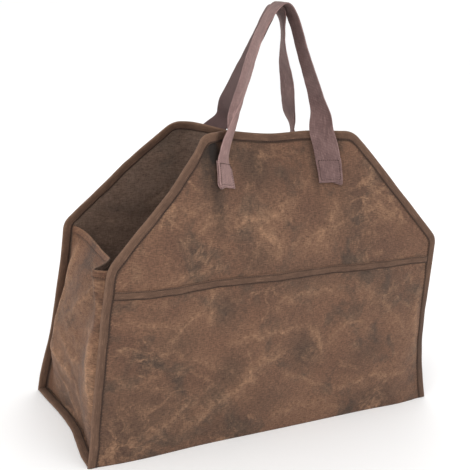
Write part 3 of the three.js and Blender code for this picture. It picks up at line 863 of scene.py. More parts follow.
def make_object(
    name: str, points: Array, faces: Array, layers: dict[str, Array]
) -> bpy.types.Object:
    """Mesh object from points and quads.

    Args:
        name: Name of the object.
        points: Corners, in metres.
        faces: Rows of four corners. Corners that fall together are joined.
        layers: Vectors at each corner, by the attribute's name.

    Returns:
        The object, in the scene.
    """
    points = np.column_stack([points[:, :2], np.maximum(points[:, 2], 0.0)])
    keys = np.round(points * 1e6).astype(np.int64)
    _, first, joined = np.unique(keys, axis=0, return_index=True, return_inverse=True)
    points = points[first]
    faces = joined.reshape(-1)[faces]
    a, b, c, d = (points[faces[:, k]] for k in range(4))
    volume = np.einsum("ij,ij->", a, np.cross(b, c)) + np.einsum("ij,ij->", a, np.cross(c, d))
    if volume < 0:
        faces = faces[:, ::-1]
    rolled = np.roll(faces, -1, axis=1)
    distinct = (faces != rolled).sum(1)
    clean = faces[distinct == 4].tolist()
    for face in faces[distinct == 3]:
        corners = list(dict.fromkeys(int(v) for v in face))
        if len(corners) == 3:
            clean.append(corners)
    mesh = bpy.data.meshes.new(name)
    mesh.from_pydata(points.tolist(), [], clean)
    for layer, values in layers.items():
        attribute = mesh.attributes.new(layer, "FLOAT_VECTOR", "POINT")
        attribute.data.foreach_set("vector", values[first].astype(np.float32).ravel())
    mesh.polygons.foreach_set("use_smooth", [True] * len(mesh.polygons))
    mesh.update()
    thing = bpy.data.objects.new(name, mesh)
    bpy.context.scene.collection.objects.link(thing)
    return thing


def finish_piece(
    thing: bpy.types.Object, material: bpy.types.Material, nodes: Sequence[str] = ()
) -> None:
    """Gives a piece its material, slot and body, and the solids that it stands for.

    Args:
        thing: The piece.
        material: Its material.
        nodes: Solids that it stands for.
    """
    thing.data.materials.clear()
    thing.data.materials.append(material)
    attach(thing, BODY)
    if nodes:
        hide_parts(*nodes)
    log.info("%s: %d faces", thing.name, len(thing.data.polygons))


def along_path(points: Array) -> Array:
    """Distance along a path of points."""
    steps = np.linalg.norm(np.diff(points, axis=0), axis=1)
    return np.concatenate([[0.0], np.cumsum(steps)])


def resample(rows: Array, places: Array, at: Array | None = None) -> Array:
    """Rows of a path read at given distances along it.

    Args:
        rows: One row for each point of the path.
        places: The distances asked.
        at: Distance of each row along the path. Without it, the rows are the points.

    Returns:
        One row for each place.
    """
    at = along_path(rows) if at is None else at
    return np.stack([np.interp(places, at, rows[:, k]) for k in range(rows.shape[1])], 1)


@dataclass
class Thread:
    """Rows of stitches that become one mesh."""

    name: str
    pitch: float = 0.0034
    length: float = 0.0028
    width: float = 0.00085
    sunk: float = 0.00012
    rows: list[tuple[Array, Array]] = field(default_factory=list)

    def sew(self, points: Array, normals: Array) -> None:
        """Adds a row of stitches along a path that lies on the cloth."""
        self.rows.append((points, normals))

    def template(self) -> Array:
        """Corners of one stitch: rings round a short thread, in its own axes.

        Returns:
            The corners, ring by ring.
        """
        rings = []
        for share, girth in ((-0.5, 0.35), (-0.36, 0.85), (0.0, 1.0), (0.36, 0.85), (0.5, 0.35)):
            drop = -self.width * 0.7 * (2 * abs(share)) ** 2.5
            radius = 0.5 * self.width * girth
            for k in range(6):
                turn = 2 * math.pi * k / 6
                ring = (radius * math.cos(turn), radius * math.sin(turn) + drop)
                rings.append((share * self.length, *ring))
        return np.array(rings)

    def build(self) -> bpy.types.Object:
        """Makes the mesh of all the stitches.

        Returns:
            The object.
        """
        template = self.template()
        centres, frames = [], []
        rng = np.random.default_rng(len(self.name))
        for points, normals in self.rows:
            total = along_path(points)[-1]
            places = np.arange(self.pitch / 2, total, self.pitch)
            centre = resample(points, places)
            ahead = resample(points, np.minimum(places + self.pitch / 4, total))
            behind = resample(points, np.maximum(places - self.pitch / 4, 0))
            normal = unit(resample(normals, places, along_path(points)))
            tangent = unit(ahead - behind)
            side = unit(np.cross(normal, tangent))
            tangent = unit(tangent + side * rng.normal(0, 0.05, len(places))[:, None])
            side = unit(np.cross(normal, tangent))
            centres.append(centre + normal * (self.width / 2 - self.sunk))
            frames.append(np.stack([tangent, side, normal], 1))
        centre, frame = np.concatenate(centres), np.concatenate(frames)
        points = (centre[:, None, :] + np.einsum("tk,nkc->ntc", template, frame)).reshape(-1, 3)
        ring, after = np.arange(6), (np.arange(6) + 1) % 6
        quads = [
            np.stack([low + ring, low + after, low + 6 + after, low + 6 + ring], 1)
            for low in range(0, 24, 6)
        ]
        ends = np.array([[0, 3, 2, 1], [0, 5, 4, 3], [24, 25, 26, 27], [24, 27, 28, 29]])
        one = np.concatenate([*quads, ends])
        shift = np.arange(len(centre))[:, None, None] * len(template)
        faces = (one[None] + shift).reshape(-1, 4)
        coords = np.zeros((len(points), 3))
        starts = np.repeat(np.arange(len(centre)) * self.pitch, len(template))
        coords[:, 0] = np.tile(template[:, 0], len(centre)) + starts
        coords[:, 1] = np.tile(template[:, 1], len(centre))
        layers = {"cloth": coords, "marks": np.zeros_like(coords)}
        return make_object(self.name, points, faces, layers)


class Net:
    """Node tree of one material."""

    def __init__(self, name: str) -> None:
        """Makes a material with no nodes.

        Args:
            name: Name of the material.
        """
        self.material = bpy.data.materials.new(name)
        self.material.use_nodes = True
        self.tree = self.material.node_tree
        self.tree.nodes.clear()

    def node(self, kind: str, settings: dict | None = None, **inputs: object) -> bpy.types.Node:
        """Adds a node.

        Args:
            kind: Type of the node, without the ShaderNode prefix.
            settings: Properties of the node. The key stops holds a ramp's stops.
            **inputs: Values or links of its sockets, by name with underscores or by number.

        Returns:
            The node.
        """
        node = self.tree.nodes.new("ShaderNode" + kind)
        for key, value in (settings or {}).items():
            if key == "stops":
                self._ramp(node, value)
            else:
                setattr(node, key, value)
        for key, value in inputs.items():
            numbered = key[0] == "i" and key[1:].isdigit()
            socket = node.inputs[int(key[1:])] if numbered else self._socket(node, key)
            if isinstance(value, Value):
                self.tree.links.new(value.socket, socket)
            elif isinstance(value, bpy.types.NodeSocket):
                self.tree.links.new(value, socket)
            else:
                socket.default_value = value
        return node

    @staticmethod
    def _socket(node: bpy.types.Node, key: str) -> bpy.types.NodeSocket:
        """Enabled input socket with one name."""
        name = key.replace("_", " ")
        return next(s for s in node.inputs if s.name == name and s.enabled)

    @staticmethod
    def _ramp(node: bpy.types.Node, stops: Sequence[tuple[float, tuple[float, ...]]]) -> None:
        """Sets the stops of a colour ramp.

        Args:
            node: The ramp's node.
            stops: Place and colour of each stop.
        """
        elements = node.color_ramp.elements
        while len(elements) < len(stops):
            elements.new(0.5)
        for element, (place, colour) in zip(elements, stops):
            element.position = place
            element.color = (*colour, 1.0)

    def value(self, socket: bpy.types.NodeSocket) -> Value:
        """Wraps a socket for arithmetic."""
        return Value(self, socket)

    def add(self, kind: str, settings: dict | None = None, **inputs: object) -> Value:
        """Adds a node and wraps its first output."""
        return self.value(self.node(kind, settings, **inputs).outputs[0])

    def combine(self, operation: str, vector: object, other: object) -> Value:
        """Vector Math node on two vectors."""
        return self.add("VectorMath", {"operation": operation}, i0=vector, i1=other)

    def scaled(self, vector: Value, share: Value | float) -> Value:
        """Vector or colour times a number."""
        return self.add("VectorMath", {"operation": "SCALE"}, i0=vector, Scale=share)

    def layer(self, name: str) -> Value:
        """Vector attribute of the mesh."""
        return self.value(self.node("Attribute", {"attribute_name": name}).outputs["Vector"])

    def parts(self, vector: Value) -> tuple[Value, Value, Value]:
        """The three numbers of a vector."""
        node = self.node("SeparateXYZ", i0=vector)
        return tuple(self.value(out) for out in node.outputs)

    def noise(
        self, vector: Value, scale: float, detail: float, rough: float, twist: float = 0.0
    ) -> Value:
        """Soft noise from 0 to 1."""
        shape = {"Scale": scale, "Detail": detail, "Roughness": rough, "Distortion": twist}
        return self.add("TexNoise", Vector=vector, **shape)

    def warp(self, vector: Value, scale: float, amount: float) -> Value:
        """Coordinates pushed about by noise.

        Args:
            vector: The coordinates.
            scale: Waves in a metre.
            amount: Size of the push.

        Returns:
            The pushed coordinates.
        """
        push = self.node("TexNoise", Vector=vector, Scale=scale, Detail=2.0).outputs[1]
        centred = self.combine("SUBTRACT", push, (0.5, 0.5, 0.5))
        return self.combine("ADD", vector, self.scaled(centred, amount))

    def stretch(self, vector: Value, scale: tuple[float, float, float]) -> Value:
        """Coordinates scaled apart along each axis."""
        return self.combine("MULTIPLY", vector, scale)

    def window(self, value: Value, low: float, high: float) -> Value:
        """Soft step of a value from low to high, as 0 to 1."""
        smooth_step = {"interpolation_type": "SMOOTHSTEP"}
        return self.add("MapRange", smooth_step, Value=value, From_Min=low, From_Max=high)

    def blend(self, share: Value | float, low: object, high: object, way: str = "MIX") -> Value:
        """Mix of two colours.

        Args:
            share: Share of the second colour.
            low: First colour.
            high: Second colour.
            way: Blend type of the Mix node.

        Returns:
            The mixed colour.
        """
        node = self.node("Mix", {"data_type": "RGBA", "blend_type": way, "clamp_factor": True})
        for number, value in ((0, share), (6, low), (7, high)):
            socket = node.inputs[number]
            if isinstance(value, Value):
                self.tree.links.new(value.socket, socket)
            else:
                socket.default_value = value if isinstance(value, float) else (*value, 1.0)
        return self.value(node.outputs[2])

    def bump(self, height: Value, distance: float, strength: float) -> Value:
        """Normal of a fine relief, given in shares of a distance in metres."""
        return self.add("Bump", Strength=strength, Distance=distance, Height=height)

    def surface(
        self, colour: Value, roughness: Value, normal: Value, sheen: float, gloss: float
    ) -> bpy.types.Material:
        """Closes the material with a cloth shader.

        Args:
            colour: Base colour.
            roughness: Roughness.
            normal: Normal of the relief.
            sheen: Weight of the sheen.
            gloss: Specular level.

        Returns:
            The material.
        """
        shader = self.node(
            "BsdfPrincipled",
            Base_Color=colour,
            Roughness=roughness,
            Normal=normal,
            Sheen_Weight=sheen,
            Sheen_Roughness=0.45,
            Specular_IOR_Level=gloss,
        )
        shader.inputs["Sheen Tint"].default_value = (0.95, 0.85, 0.75, 1.0)
        self.node("OutputMaterial", Surface=shader.outputs[0])
        return self.material


def operator(operation: str, swapped: bool = False) -> Callable[[Value, object], Value]:
    """Method of a value that adds a Math node.

    Args:
        operation: The Math node's operation.
        swapped: Whether the other number comes first.

    Returns:
        The method.
    """

    def method(self: Value, other: object) -> Value:
        """Result of the operation with another value or number."""
        return self.math(operation, *((other, self) if swapped else (self, other)))

    return method


class Value:
    """One output socket, with arithmetic that adds Math nodes."""

    def __init__(self, net: Net, socket: bpy.types.NodeSocket) -> None:
        """Wraps a socket.

        Args:
            net: The node tree.
            socket: The output socket.
        """
        self.net = net
        self.socket = socket

    def math(self, operation: str, first: object, second: object = None) -> Value:
        """Adds a Math node on one or two values.

        Args:
            operation: The node's operation.
            first: First number.
            second: Second number, if any.

        Returns:
            The result.
        """
        inputs = {"i0": first} if second is None else {"i0": first, "i1": second}
        return self.net.add("Math", {"operation": operation}, **inputs)

    __add__ = __radd__ = operator("ADD")
    __sub__ = operator("SUBTRACT")
    __rsub__ = operator("SUBTRACT", swapped=True)
    __mul__ = __rmul__ = operator("MULTIPLY")
    __pow__ = operator("POWER")
    above = operator("GREATER_THAN")
    top = operator("MAXIMUM")

    def sin(self) -> Value:
        """Sine."""
        return self.math("SINE", self)

    def size(self) -> Value:
        """Size without the sign."""
        return self.math("ABSOLUTE", self)


Colour = tuple[float, float, float]


@dataclass(frozen=True)
class Weave:
    """Fine relief of a woven cloth."""

    bond: Bond
    warp: float
    weft: float

    def height(self, net: Net, cloth: Value) -> Value:
        """Height of the yarns from 0 to 1.

        Args:
            net: Node tree that the nodes go into.
            cloth: Cloth coordinates in metres.

        Returns:
            The height.
        """
        u, v, _ = net.parts(cloth)
        across, up = u * (math.pi / self.warp), v * (math.pi / self.weft)
        if self.bond is Bond.PLAIN:
            over = (across.sin() * up.sin()).above(0.0)
            return over * across.sin().size() + (1 - over) * up.sin().size()
        if self.bond is Bond.TWILL:
            return 0.5 + 0.5 * (across + up).sin() * (0.6 + 0.4 * (across - 3.0 * up).sin())
        return (up.sin().size() * (0.75 + 0.25 * across.sin())) ** 0.7


@dataclass(frozen=True)
class WaxedCanvas:
    """Waxed cotton canvas with dark blotches, tan rubs and light crease lines, with painted shade
    and painted highlight from its marks.
    """

    name: str
    brown: Colour
    tan: Colour
    dark: Colour
    rub_and_highlight: Colour
    painted_shade_colour: Colour
    seed: float
    weave: Weave = Weave(Bond.PLAIN, 0.0013, 0.0014)
    pale_reverse: float = 0.2
    reverse: Colour = (0.150, 0.108, 0.085)
    reverse_tint: float = 0.65
    smudge_tone: float = 0.95
    soft_line_tone: float = 0.55
    thin_line_tone: float = 0.3
    glow_tone: float = 0.55
    painted_shade_tone: float = 0.75
    base_shade: float = 0.78
    weave_shade: float = 0.24
    weft_shade: float = 1.45
    warp_shade: float = 0.85
    grain_shade: float = 0.4
    relief_depth: float = 0.00035

    def build(self) -> bpy.types.Material:
        """Makes the material.

        Returns:
            The material.
        """
        net = Net(self.name)
        shift = (self.seed, 0.3 * self.seed, 0.0)
        raw = net.layer("cloth")
        cloth = net.combine("ADD", raw, shift)
        # The marks hold dark spots of dirt and painted shade, crease tone that is partly painted
        # highlight, and painted shade by seams and in folds.
        dark_mark, rub_and_highlight_mark, painted_shade_mark = net.parts(net.layer("marks"))
        reverse = net.window(net.parts(raw)[2], 0.1, 0.3)
        drift = net.warp(cloth, 11.0, 0.05)
        broad = net.noise(drift, 8.5, 3.0, 0.5, 0.4)
        cloud = net.noise(drift, 27.0, 5.0, 0.65, 0.3)
        feather = net.noise(net.warp(cloth, 45.0, 0.02), 95.0, 5.0, 0.7, 0.4)
        grain = net.noise(cloth, 420.0, 3.0, 0.7)
        weft = net.noise(net.stretch(cloth, (170.0, 640.0, 1.0)), 1.0, 2.0, 0.6)
        warp = net.noise(net.stretch(cloth, (640.0, 150.0, 1.0)), 1.0, 2.0, 0.6)
        browned = net.window(broad + 0.5 * (cloud - 0.5), 0.36, 0.66)
        colour = net.blend(browned, self.tan, self.brown)
        blot = net.noise(drift, 12.0, 4.0, 0.6, 0.5) + 0.4 * (cloud - 0.5)
        smudge = self.smudge_tone * net.window(blot, 0.47, 0.68)
        marked = dark_mark * (1.05 + 0.9 * (cloud - 0.5))
        colour = net.blend(smudge.top(marked), colour, self.dark)
        ridge = (net.noise(drift, 15.0, 4.0, 0.6, 0.7) - 0.5).size()
        shaken = net.warp(cloth, 30.0, 0.03)
        thin_ridge = (net.noise(shaken, 38.0, 4.0, 0.65, 0.5) - 0.5).size()
        where = net.window(net.noise(cloth, 9.0, 3.0, 0.6, 0.5), 0.48, 0.66)
        fine_where = net.window(net.noise(cloth, 22.0, 2.0, 0.5), 0.46, 0.64)
        soft_lines = (1 - net.window(ridge, 0.0, 0.07)) * where
        thin_lines = (1 - net.window(thin_ridge, 0.0, 0.03)) * fine_where
        lines = (self.soft_line_tone * soft_lines).top(self.thin_line_tone * thin_lines)
        glow = self.glow_tone * net.window(cloud, 0.5, 0.78)
        # Crease tone here is partly painted highlight on fold ridges.
        rubs_and_highlights = lines.top(rub_and_highlight_mark).top(glow) * (0.45 + 1.1 * net.window(feather, 0.3, 0.7))
        colour = net.blend(rubs_and_highlights, colour, self.rub_and_highlight)
        # Painted shade by the seams and in the folds.
        colour = net.blend(self.painted_shade_tone * painted_shade_mark, colour, self.painted_shade_colour)
        weave = self.weave.height(net, cloth)
        yarn = (weft - 0.5) * self.weft_shade + (warp - 0.5) * self.warp_shade
        shade = self.base_shade + self.weave_shade * weave + self.grain_shade * (grain - 0.5)
        shade = (shade + yarn + 0.35 * (feather - 0.5)) * (1 + self.pale_reverse * reverse)
        colour = net.scaled(net.blend(self.reverse_tint * reverse, colour, self.reverse), shade)
        roughness = 0.74 - 0.12 * smudge + 0.1 * rubs_and_highlights + 0.1 * (grain - 0.5)
        relief = 0.6 * weave + 0.4 * grain + 0.4 * lines + 0.5 * yarn
        return net.surface(colour, roughness, net.bump(relief, self.relief_depth, 0.8), 0.05, 0.28)


@dataclass(frozen=True)
class Tones:
    """Colours of a tape: its own, with wear and painted highlight, where dirty, and of painted
    shade.
    """

    base: Colour
    light: Colour
    dark: Colour
    painted_shade_colour: Colour


@dataclass(frozen=True)
class WovenTape:
    """Cotton tape or webbing of one hue with a visible bond."""

    name: str
    tones: Tones
    weave: Weave
    depth: float
    contrast: float
    sheen: float
    seed: float

    def build(self) -> bpy.types.Material:
        """Makes the material.

        Returns:
            The material.
        """
        net = Net(self.name)
        raw = net.layer("cloth")
        shift = (self.seed, 0.7 * self.seed, 0.0)
        cloth = net.combine("ADD", raw, shift)
        # The marks hold wear and painted highlight, and painted shade.
        _, wear_and_painted_light, seam = net.parts(net.layer("marks"))
        cloud = net.noise(net.warp(cloth, 20.0, 0.03), 26.0, 4.0, 0.6, 0.5)
        grain = net.noise(cloth, 420.0, 3.0, 0.7)
        yarn = net.noise(net.stretch(cloth, (700.0, 60.0, 1.0)), 1.0, 2.0, 0.6)
        weave = self.weave.height(net, cloth)
        colour = net.blend(net.window(cloud, 0.3, 0.72), self.tones.dark, self.tones.base)
        lit = 0.35 * net.window(yarn, 0.55, 0.75) + 0.6 * wear_and_painted_light
        colour = net.blend(lit, colour, self.tones.light)
        colour = net.blend(seam, colour, self.tones.painted_shade_colour)
        mottle = net.noise(cloth, 150.0, 4.0, 0.7)
        uneven = 0.5 * (mottle - 0.5) + 0.5 * (yarn - 0.5) + 0.4 * (grain - 0.5)
        shade = (0.98 - 0.6 * self.contrast) + self.contrast * weave + uneven
        roughness = 0.82 + 0.12 * (grain - 0.5) - 0.06 * weave
        normal = net.bump(0.8 * weave + 0.35 * grain, self.depth, 0.7)
        return net.surface(net.scaled(colour, shade), roughness, normal, self.sheen, 0.25)


@dataclass(frozen=True)
class Plain:
    """Plain matt surface of the studio floor."""

    name: str
    colour: Colour

    def build(self) -> bpy.types.Material:
        """Makes the material.

        Returns:
            The material.
        """
        net = Net(self.name)
        shader = net.node("BsdfPrincipled", Base_Color=(*self.colour, 1.0), Roughness=0.95)
        net.node("OutputMaterial", Surface=shader.outputs[0])
        return net.material


def srgb(red: int, green: int, blue: int) -> Colour:
    """Linear colour of screen values from 0 to 255.

    Args:
        red: Red.
        green: Green.
        blue: Blue.

    Returns:
        The linear red, green and blue.
    """

    def line(value: float) -> float:
        """Linear value of one channel."""
        share = value / 255
        return share / 12.92 if share <= 0.04045 else ((share + 0.055) / 1.055) ** 2.4

    return line(red), line(green), line(blue)


@dataclass(frozen=True)
class Finishes:
    """Materials of the bag."""

    canvas: bpy.types.Material
    back_canvas: bpy.types.Material
    gusset: bpy.types.Material
    tape: bpy.types.Material
    webbing: bpy.types.Material
    thread: bpy.types.Material

    @classmethod
    def make(cls) -> Finishes:
        """Makes all the materials.

        Returns:
            The materials.
        """
        panel_tones = srgb(99, 71, 56), srgb(112, 81, 63), srgb(70, 55, 45)
        # Colour of rubs and painted highlight, and colour of painted shade.
        rub_and_highlight, painted_shade_colour = srgb(152, 116, 90), srgb(36, 27, 22)
        side_tones = srgb(97, 67, 51), srgb(112, 79, 60), srgb(72, 52, 41)
        tape_tones = Tones(
            srgb(101, 76, 61), srgb(143, 112, 92), srgb(90, 67, 54), srgb(44, 31, 25)
        )
        webbing_tones = Tones(
            srgb(121, 96, 93), srgb(170, 138, 133), srgb(101, 78, 76), srgb(76, 57, 56)
        )
        thread_tones = Tones(
            srgb(62, 44, 36), srgb(92, 68, 56), srgb(50, 35, 29), srgb(40, 28, 23)
        )
        twill, fine_twill = Weave(Bond.TWILL, 0.0011, 0.0011), Weave(Bond.TWILL, 0.0005, 0.0005)
        ribbed = Weave(Bond.RIBBED, 0.0011, 0.0023)
        return cls(
            canvas=WaxedCanvas("waxed_canvas", *panel_tones, rub_and_highlight, painted_shade_colour, 0.0).build(),
            back_canvas=WaxedCanvas("waxed_canvas_back", *panel_tones, rub_and_highlight, painted_shade_colour, 3.1).build(),
            gusset=WaxedCanvas("waxed_canvas_gusset", *side_tones, rub_and_highlight, painted_shade_colour, 6.3).build(),
            tape=WovenTape("cotton_tape", tape_tones, twill, 0.0003, 0.45, 0.05, 1.7).build(),
            webbing=WovenTape(
                "cotton_webbing", webbing_tones, ribbed, 0.0005, 0.42, 0.1, 4.9
            ).build(),
            thread=WovenTape(
                "sewing_thread", thread_tones, fine_twill, 0.0001, 0.3, 0.1, 2.3
            ).build(),
        )


@dataclass
class PanelPiece:
    """Front or back panel with its bound edge and the stitching along it."""

    label: str
    panel: Panel
    outline: Outline
    columns: int
    shaded_tape: Sequence[Swell] = ()
    sizes: Sizes = SIZES
    tape_cells: int = 4
    pressed: float = 0.82
    seam_shadow: float = 0.0015
    rim_cell: float = 0.0024

    def knots(self) -> tuple[Array, Array]:
        """Places of the grid in x and z, row by row.

        Returns:
            The grids of x and z.
        """
        s = self.sizes
        edge, inset = self.outline.edge, self.outline.inset
        shares = np.arange(self.tape_cells + 1) / self.tape_cells
        left_x = mix(-edge[:, :1], -inset[:, :1], shares[None])
        left_z = mix(edge[:, 1:], inset[:, 1:], shares[None])
        across = np.linspace(-1, 1, self.columns + 1)[1:-1]
        middle_x = inset[:, :1] * across[None]
        middle_z = np.repeat(inset[:, 1:], len(across), axis=1)
        x = np.concatenate([left_x, middle_x, -left_x[:, ::-1]], axis=1)
        z = np.concatenate([left_z, middle_z, left_z[:, ::-1]], axis=1)
        top_x, top_z = [x], [z]
        for step in range(1, self.tape_cells + 1):
            height = mix(inset[-1, 1], s.body_height, step / self.tape_cells)
            top_x.append(x[-1:])
            top_z.append(np.maximum(z[-1:], height))
        return np.concatenate(top_x), np.concatenate(top_z)

    def sheet(self) -> ClothMesh:
        """The panel's cloth.

        Returns:
            The cloth's body.
        """
        s = self.sizes
        x, z = self.knots()
        middle, normal = self.panel.mid(x, z), self.panel.normal(x, z)
        lift = self.pressed * s.half_wall
        outer, inner = middle + normal * lift, middle - normal * lift
        relief = self.panel.relief
        _, tone = relief.lines(x, z)
        # Painted shadow beside the tape, and painted shade in the folds.
        seam = np.maximum(self.seam_shade(x, z), relief.shade(relief.fold_shade, x, z))
        marks = np.stack([relief.shade(relief.smudges_and_shade, x, z), tone, seam], -1)
        return ClothMesh(self.label + "_cloth", outer, inner, np.stack([x, z], -1), marks)

    def seam_shade(self, x: Array, z: Array) -> Array:
        """Painted shadow on the cloth beside the tape.

        Args:
            x: Places across.
            z: Heights.

        Returns:
            The darkness from 0 to 1.
        """
        inset = self.outline.inset
        near = np.full(x.shape, np.inf)
        for k in range(0, len(inset), 2):
            near = np.minimum(near, np.hypot(np.abs(x) - inset[k, 0], z - inset[k, 1]))
        near = np.minimum(near, np.abs(z - (self.sizes.body_height - self.sizes.tape_width)))
        return bell(near, self.seam_shadow)

    def rim(self) -> tuple[Array, Array]:
        """Places along the bound edge and along the line where the tape ends.

        Returns:
            Points on the edge, and points where the tape ends, in x and z.
        """
        s = self.sizes
        edge, inset = self.outline.edge.copy(), self.outline.inset.copy()
        edge[0, 1] += s.floor_lift
        inset[0, 1] += s.floor_lift
        flip = np.array([-1.0, 1.0])
        reach = inset[-1, 0]
        across = np.linspace(-reach, reach, round(2 * reach / self.rim_cell) + 1)[1:-1]
        top_edge = np.stack([across, np.full_like(across, s.body_height)], 1)
        top_inset = np.stack([across, np.full_like(across, s.body_height - s.tape_width)], 1)
        edges = np.concatenate([edge * flip, top_edge, edge[::-1]])
        insets = np.concatenate([inset * flip, top_inset, inset[::-1]])
        return edges, insets

    def tape(self) -> TapeSweep:
        """The tape folded over the edge.

        Returns:
            The tape.
        """
        edges, insets = self.rim()
        mids = [self.panel.mid(row[:, 0], row[:, 1]) for row in (edges, insets)]
        ways = [self.panel.normal(row[:, 0], row[:, 1]) for row in (edges, insets)]
        shaded = self.panel.relief.shade(self.shaded_tape, edges[:, 0], edges[:, 1])
        return TapeSweep(self.label + "_tape", *mids, *ways, shaded=shaded)

    def build(self, cloth: bpy.types.Material, finishes: Finishes) -> None:
        """Builds the cloth, the tape and the thread.

        Args:
            cloth: Material of the cloth.
            finishes: The materials.
        """
        finish_piece(self.sheet().build(), cloth, [self.label + "_panel"])
        sweep = self.tape()
        slot = self.label + "_binding"
        finish_piece(sweep.mesh().build(), finishes.tape, [slot])
        thread = Thread(self.label + "_tape_thread")
        sweep.sew(thread)
        finish_piece(thread.build(), finishes.thread)


# Row of the tape's half section where the stitches sink it.
TAPE_STITCHES = 4


@dataclass
class TapeSweep:
    """Tape folded over an edge, given by the edge and the line where the tape ends."""

    name: str
    edge: Array
    inset: Array
    edge_way: Array
    inset_way: Array
    sizes: Sizes = SIZES
    stitch_inset: float = 0.0019
    shaded: Array | None = None

    def place(self, inwards: Array | float, lift: Array | float) -> Array:
        """Points at a distance inwards from the edge and a lift out of the cloth.

        Args:
            inwards: Distances inwards from the edge.
            lift: Lifts out of the cloth's middle.

        Returns:
            The points.
        """
        inwards, lift = np.asarray(inwards)[..., None], np.asarray(lift)[..., None]
        share = np.clip(inwards / self.sizes.tape_width, 0, 1.2)
        away = unit(self.edge - self.inset)
        base = mix(self.edge, self.inset, share) + away * np.maximum(-inwards, 0)
        return base + unit(mix(self.edge_way, self.inset_way, np.clip(share, 0, 1))) * lift

    def profile(self) -> Array:
        """Half section of the tape: distance inwards, outer lift and inner lift.

        Returns:
            Rows of distance inwards, outer lift and inner lift, in metres.
        """
        s = self.sizes
        w, h = s.tape_width, s.half_wall + 0.6 * s.seam_gap + 0.65 * s.tape_wall
        under = s.half_wall + 0.3 * s.seam_gap
        return np.array(
            [
                (w, h - 0.00045, under),
                (w - 0.0003, h - 0.0001, under),
                (w - 0.001, h + 0.00005, under),
                (w - 0.0015, h - 0.0001, under),
                (w - self.stitch_inset, h - 0.00035, under),
                (w - 0.0024, h - 0.0001, under),
                (w - 0.0034, h + 0.0001, under),
                (w - 0.0055, h + 0.0002, under),
                (0.0045, h + 0.00025, under),
                (0.0025, h + 0.0002, under),
                (0.001, h - 0.0001, under),
                (-0.0001, 0.85 * h, 0.8 * under),
                (-0.0006, 0.55 * h, 0.5 * under),
                (-0.0009, 0.2 * h, 0.2 * under),
            ]
        )

    def mesh(self) -> ClothMesh:
        """The tape's closed body.

        Returns:
            The tape's body.
        """
        half = self.profile()
        path = along_path(self.edge)
        rng = np.random.default_rng(len(self.name))
        phase = rng.uniform(0, 6.28, 3)
        pucker = ripple(path, 0.00012, 0.0068, phase[0])
        swell = ripple(path, 0.00018, 0.031, phase[1]) + ripple(path, 0.0002, 0.083, phase[2])
        wander = ripple(path, 0.00025, 0.057, phase[2])
        outer, inner, width = [], [], []
        around = 0.0
        last = None
        for sign, rows in ((1, half), (-1, half[::-1])):
            for inwards, lift, under in rows:
                if last is not None:
                    around += math.hypot(inwards - last[0], sign * lift - last[1])
                last = (inwards, sign * lift)
                body = smooth((inwards + 0.001) / 0.003)
                puff = lift + body * (swell + pucker * smooth((inwards - 0.006) / 0.004))
                at = inwards + wander * smooth(inwards / 0.01)
                outer.append(self.place(at, sign * puff))
                inner.append(self.place(max(inwards, -0.0004), sign * np.full(len(path), under)))
                width.append(around)
        grid_outer, grid_inner = np.stack(outer, 1), np.stack(inner, 1)
        cloth = np.stack(np.meshgrid(np.array(width), path, indexing="xy"), -1)
        depth = np.concatenate([half[:, 0], half[::-1, 0]])
        # Painted shadow along the stitch line, painted highlight on the folded edge, and painted
        # shade where the tape is shaded.
        groove = bell(depth - (self.sizes.tape_width - 0.5 * self.stitch_inset), 0.0010)
        ridge = bell(depth, 0.0022)
        marks = np.zeros((*cloth.shape[:2], 3))
        marks[..., 1] = 0.55 * ridge[None]
        marks[..., 2] = 0.9 * groove[None]
        if self.shaded is not None:
            marks[..., 2] = np.maximum(marks[..., 2], self.shaded[:, None])
        return ClothMesh(self.name, grid_outer, grid_inner, cloth, marks)

    def sew(self, thread: Thread) -> None:
        """Stitches along both legs of the tape.

        Args:
            thread: Thread that takes the stitches.
        """
        s = self.sizes
        inwards, lift = self.profile()[TAPE_STITCHES][:2]
        way = unit(mix(self.edge_way, self.inset_way, inwards / s.tape_width))
        for sign in (1, -1):
            points = self.place(inwards, sign * np.full(len(self.edge), lift))
            thread.sew(points, sign * way)


# Section of the band from its lower edge to its upper: share of its width, and share of the
# tape's wall that it stands out. The two rows of stitches sink it at rows 3 and 11.
BAND_SECTION = (
    (0.0, 0.25),
    (0.02, 0.8),
    (0.08, 1.05),
    (0.14, 0.72),
    (0.2, 1.0),
    (0.3, 1.2),
    (0.42, 1.3),
    (0.5, 1.3),
    (0.58, 1.3),
    (0.7, 1.2),
    (0.8, 1.0),
    (0.86, 0.72),
    (0.92, 1.05),
    (0.98, 0.9),
    (1.0, 0.3),
)
BAND_MIDDLE = 7
BAND_STITCHES = (3, 11)


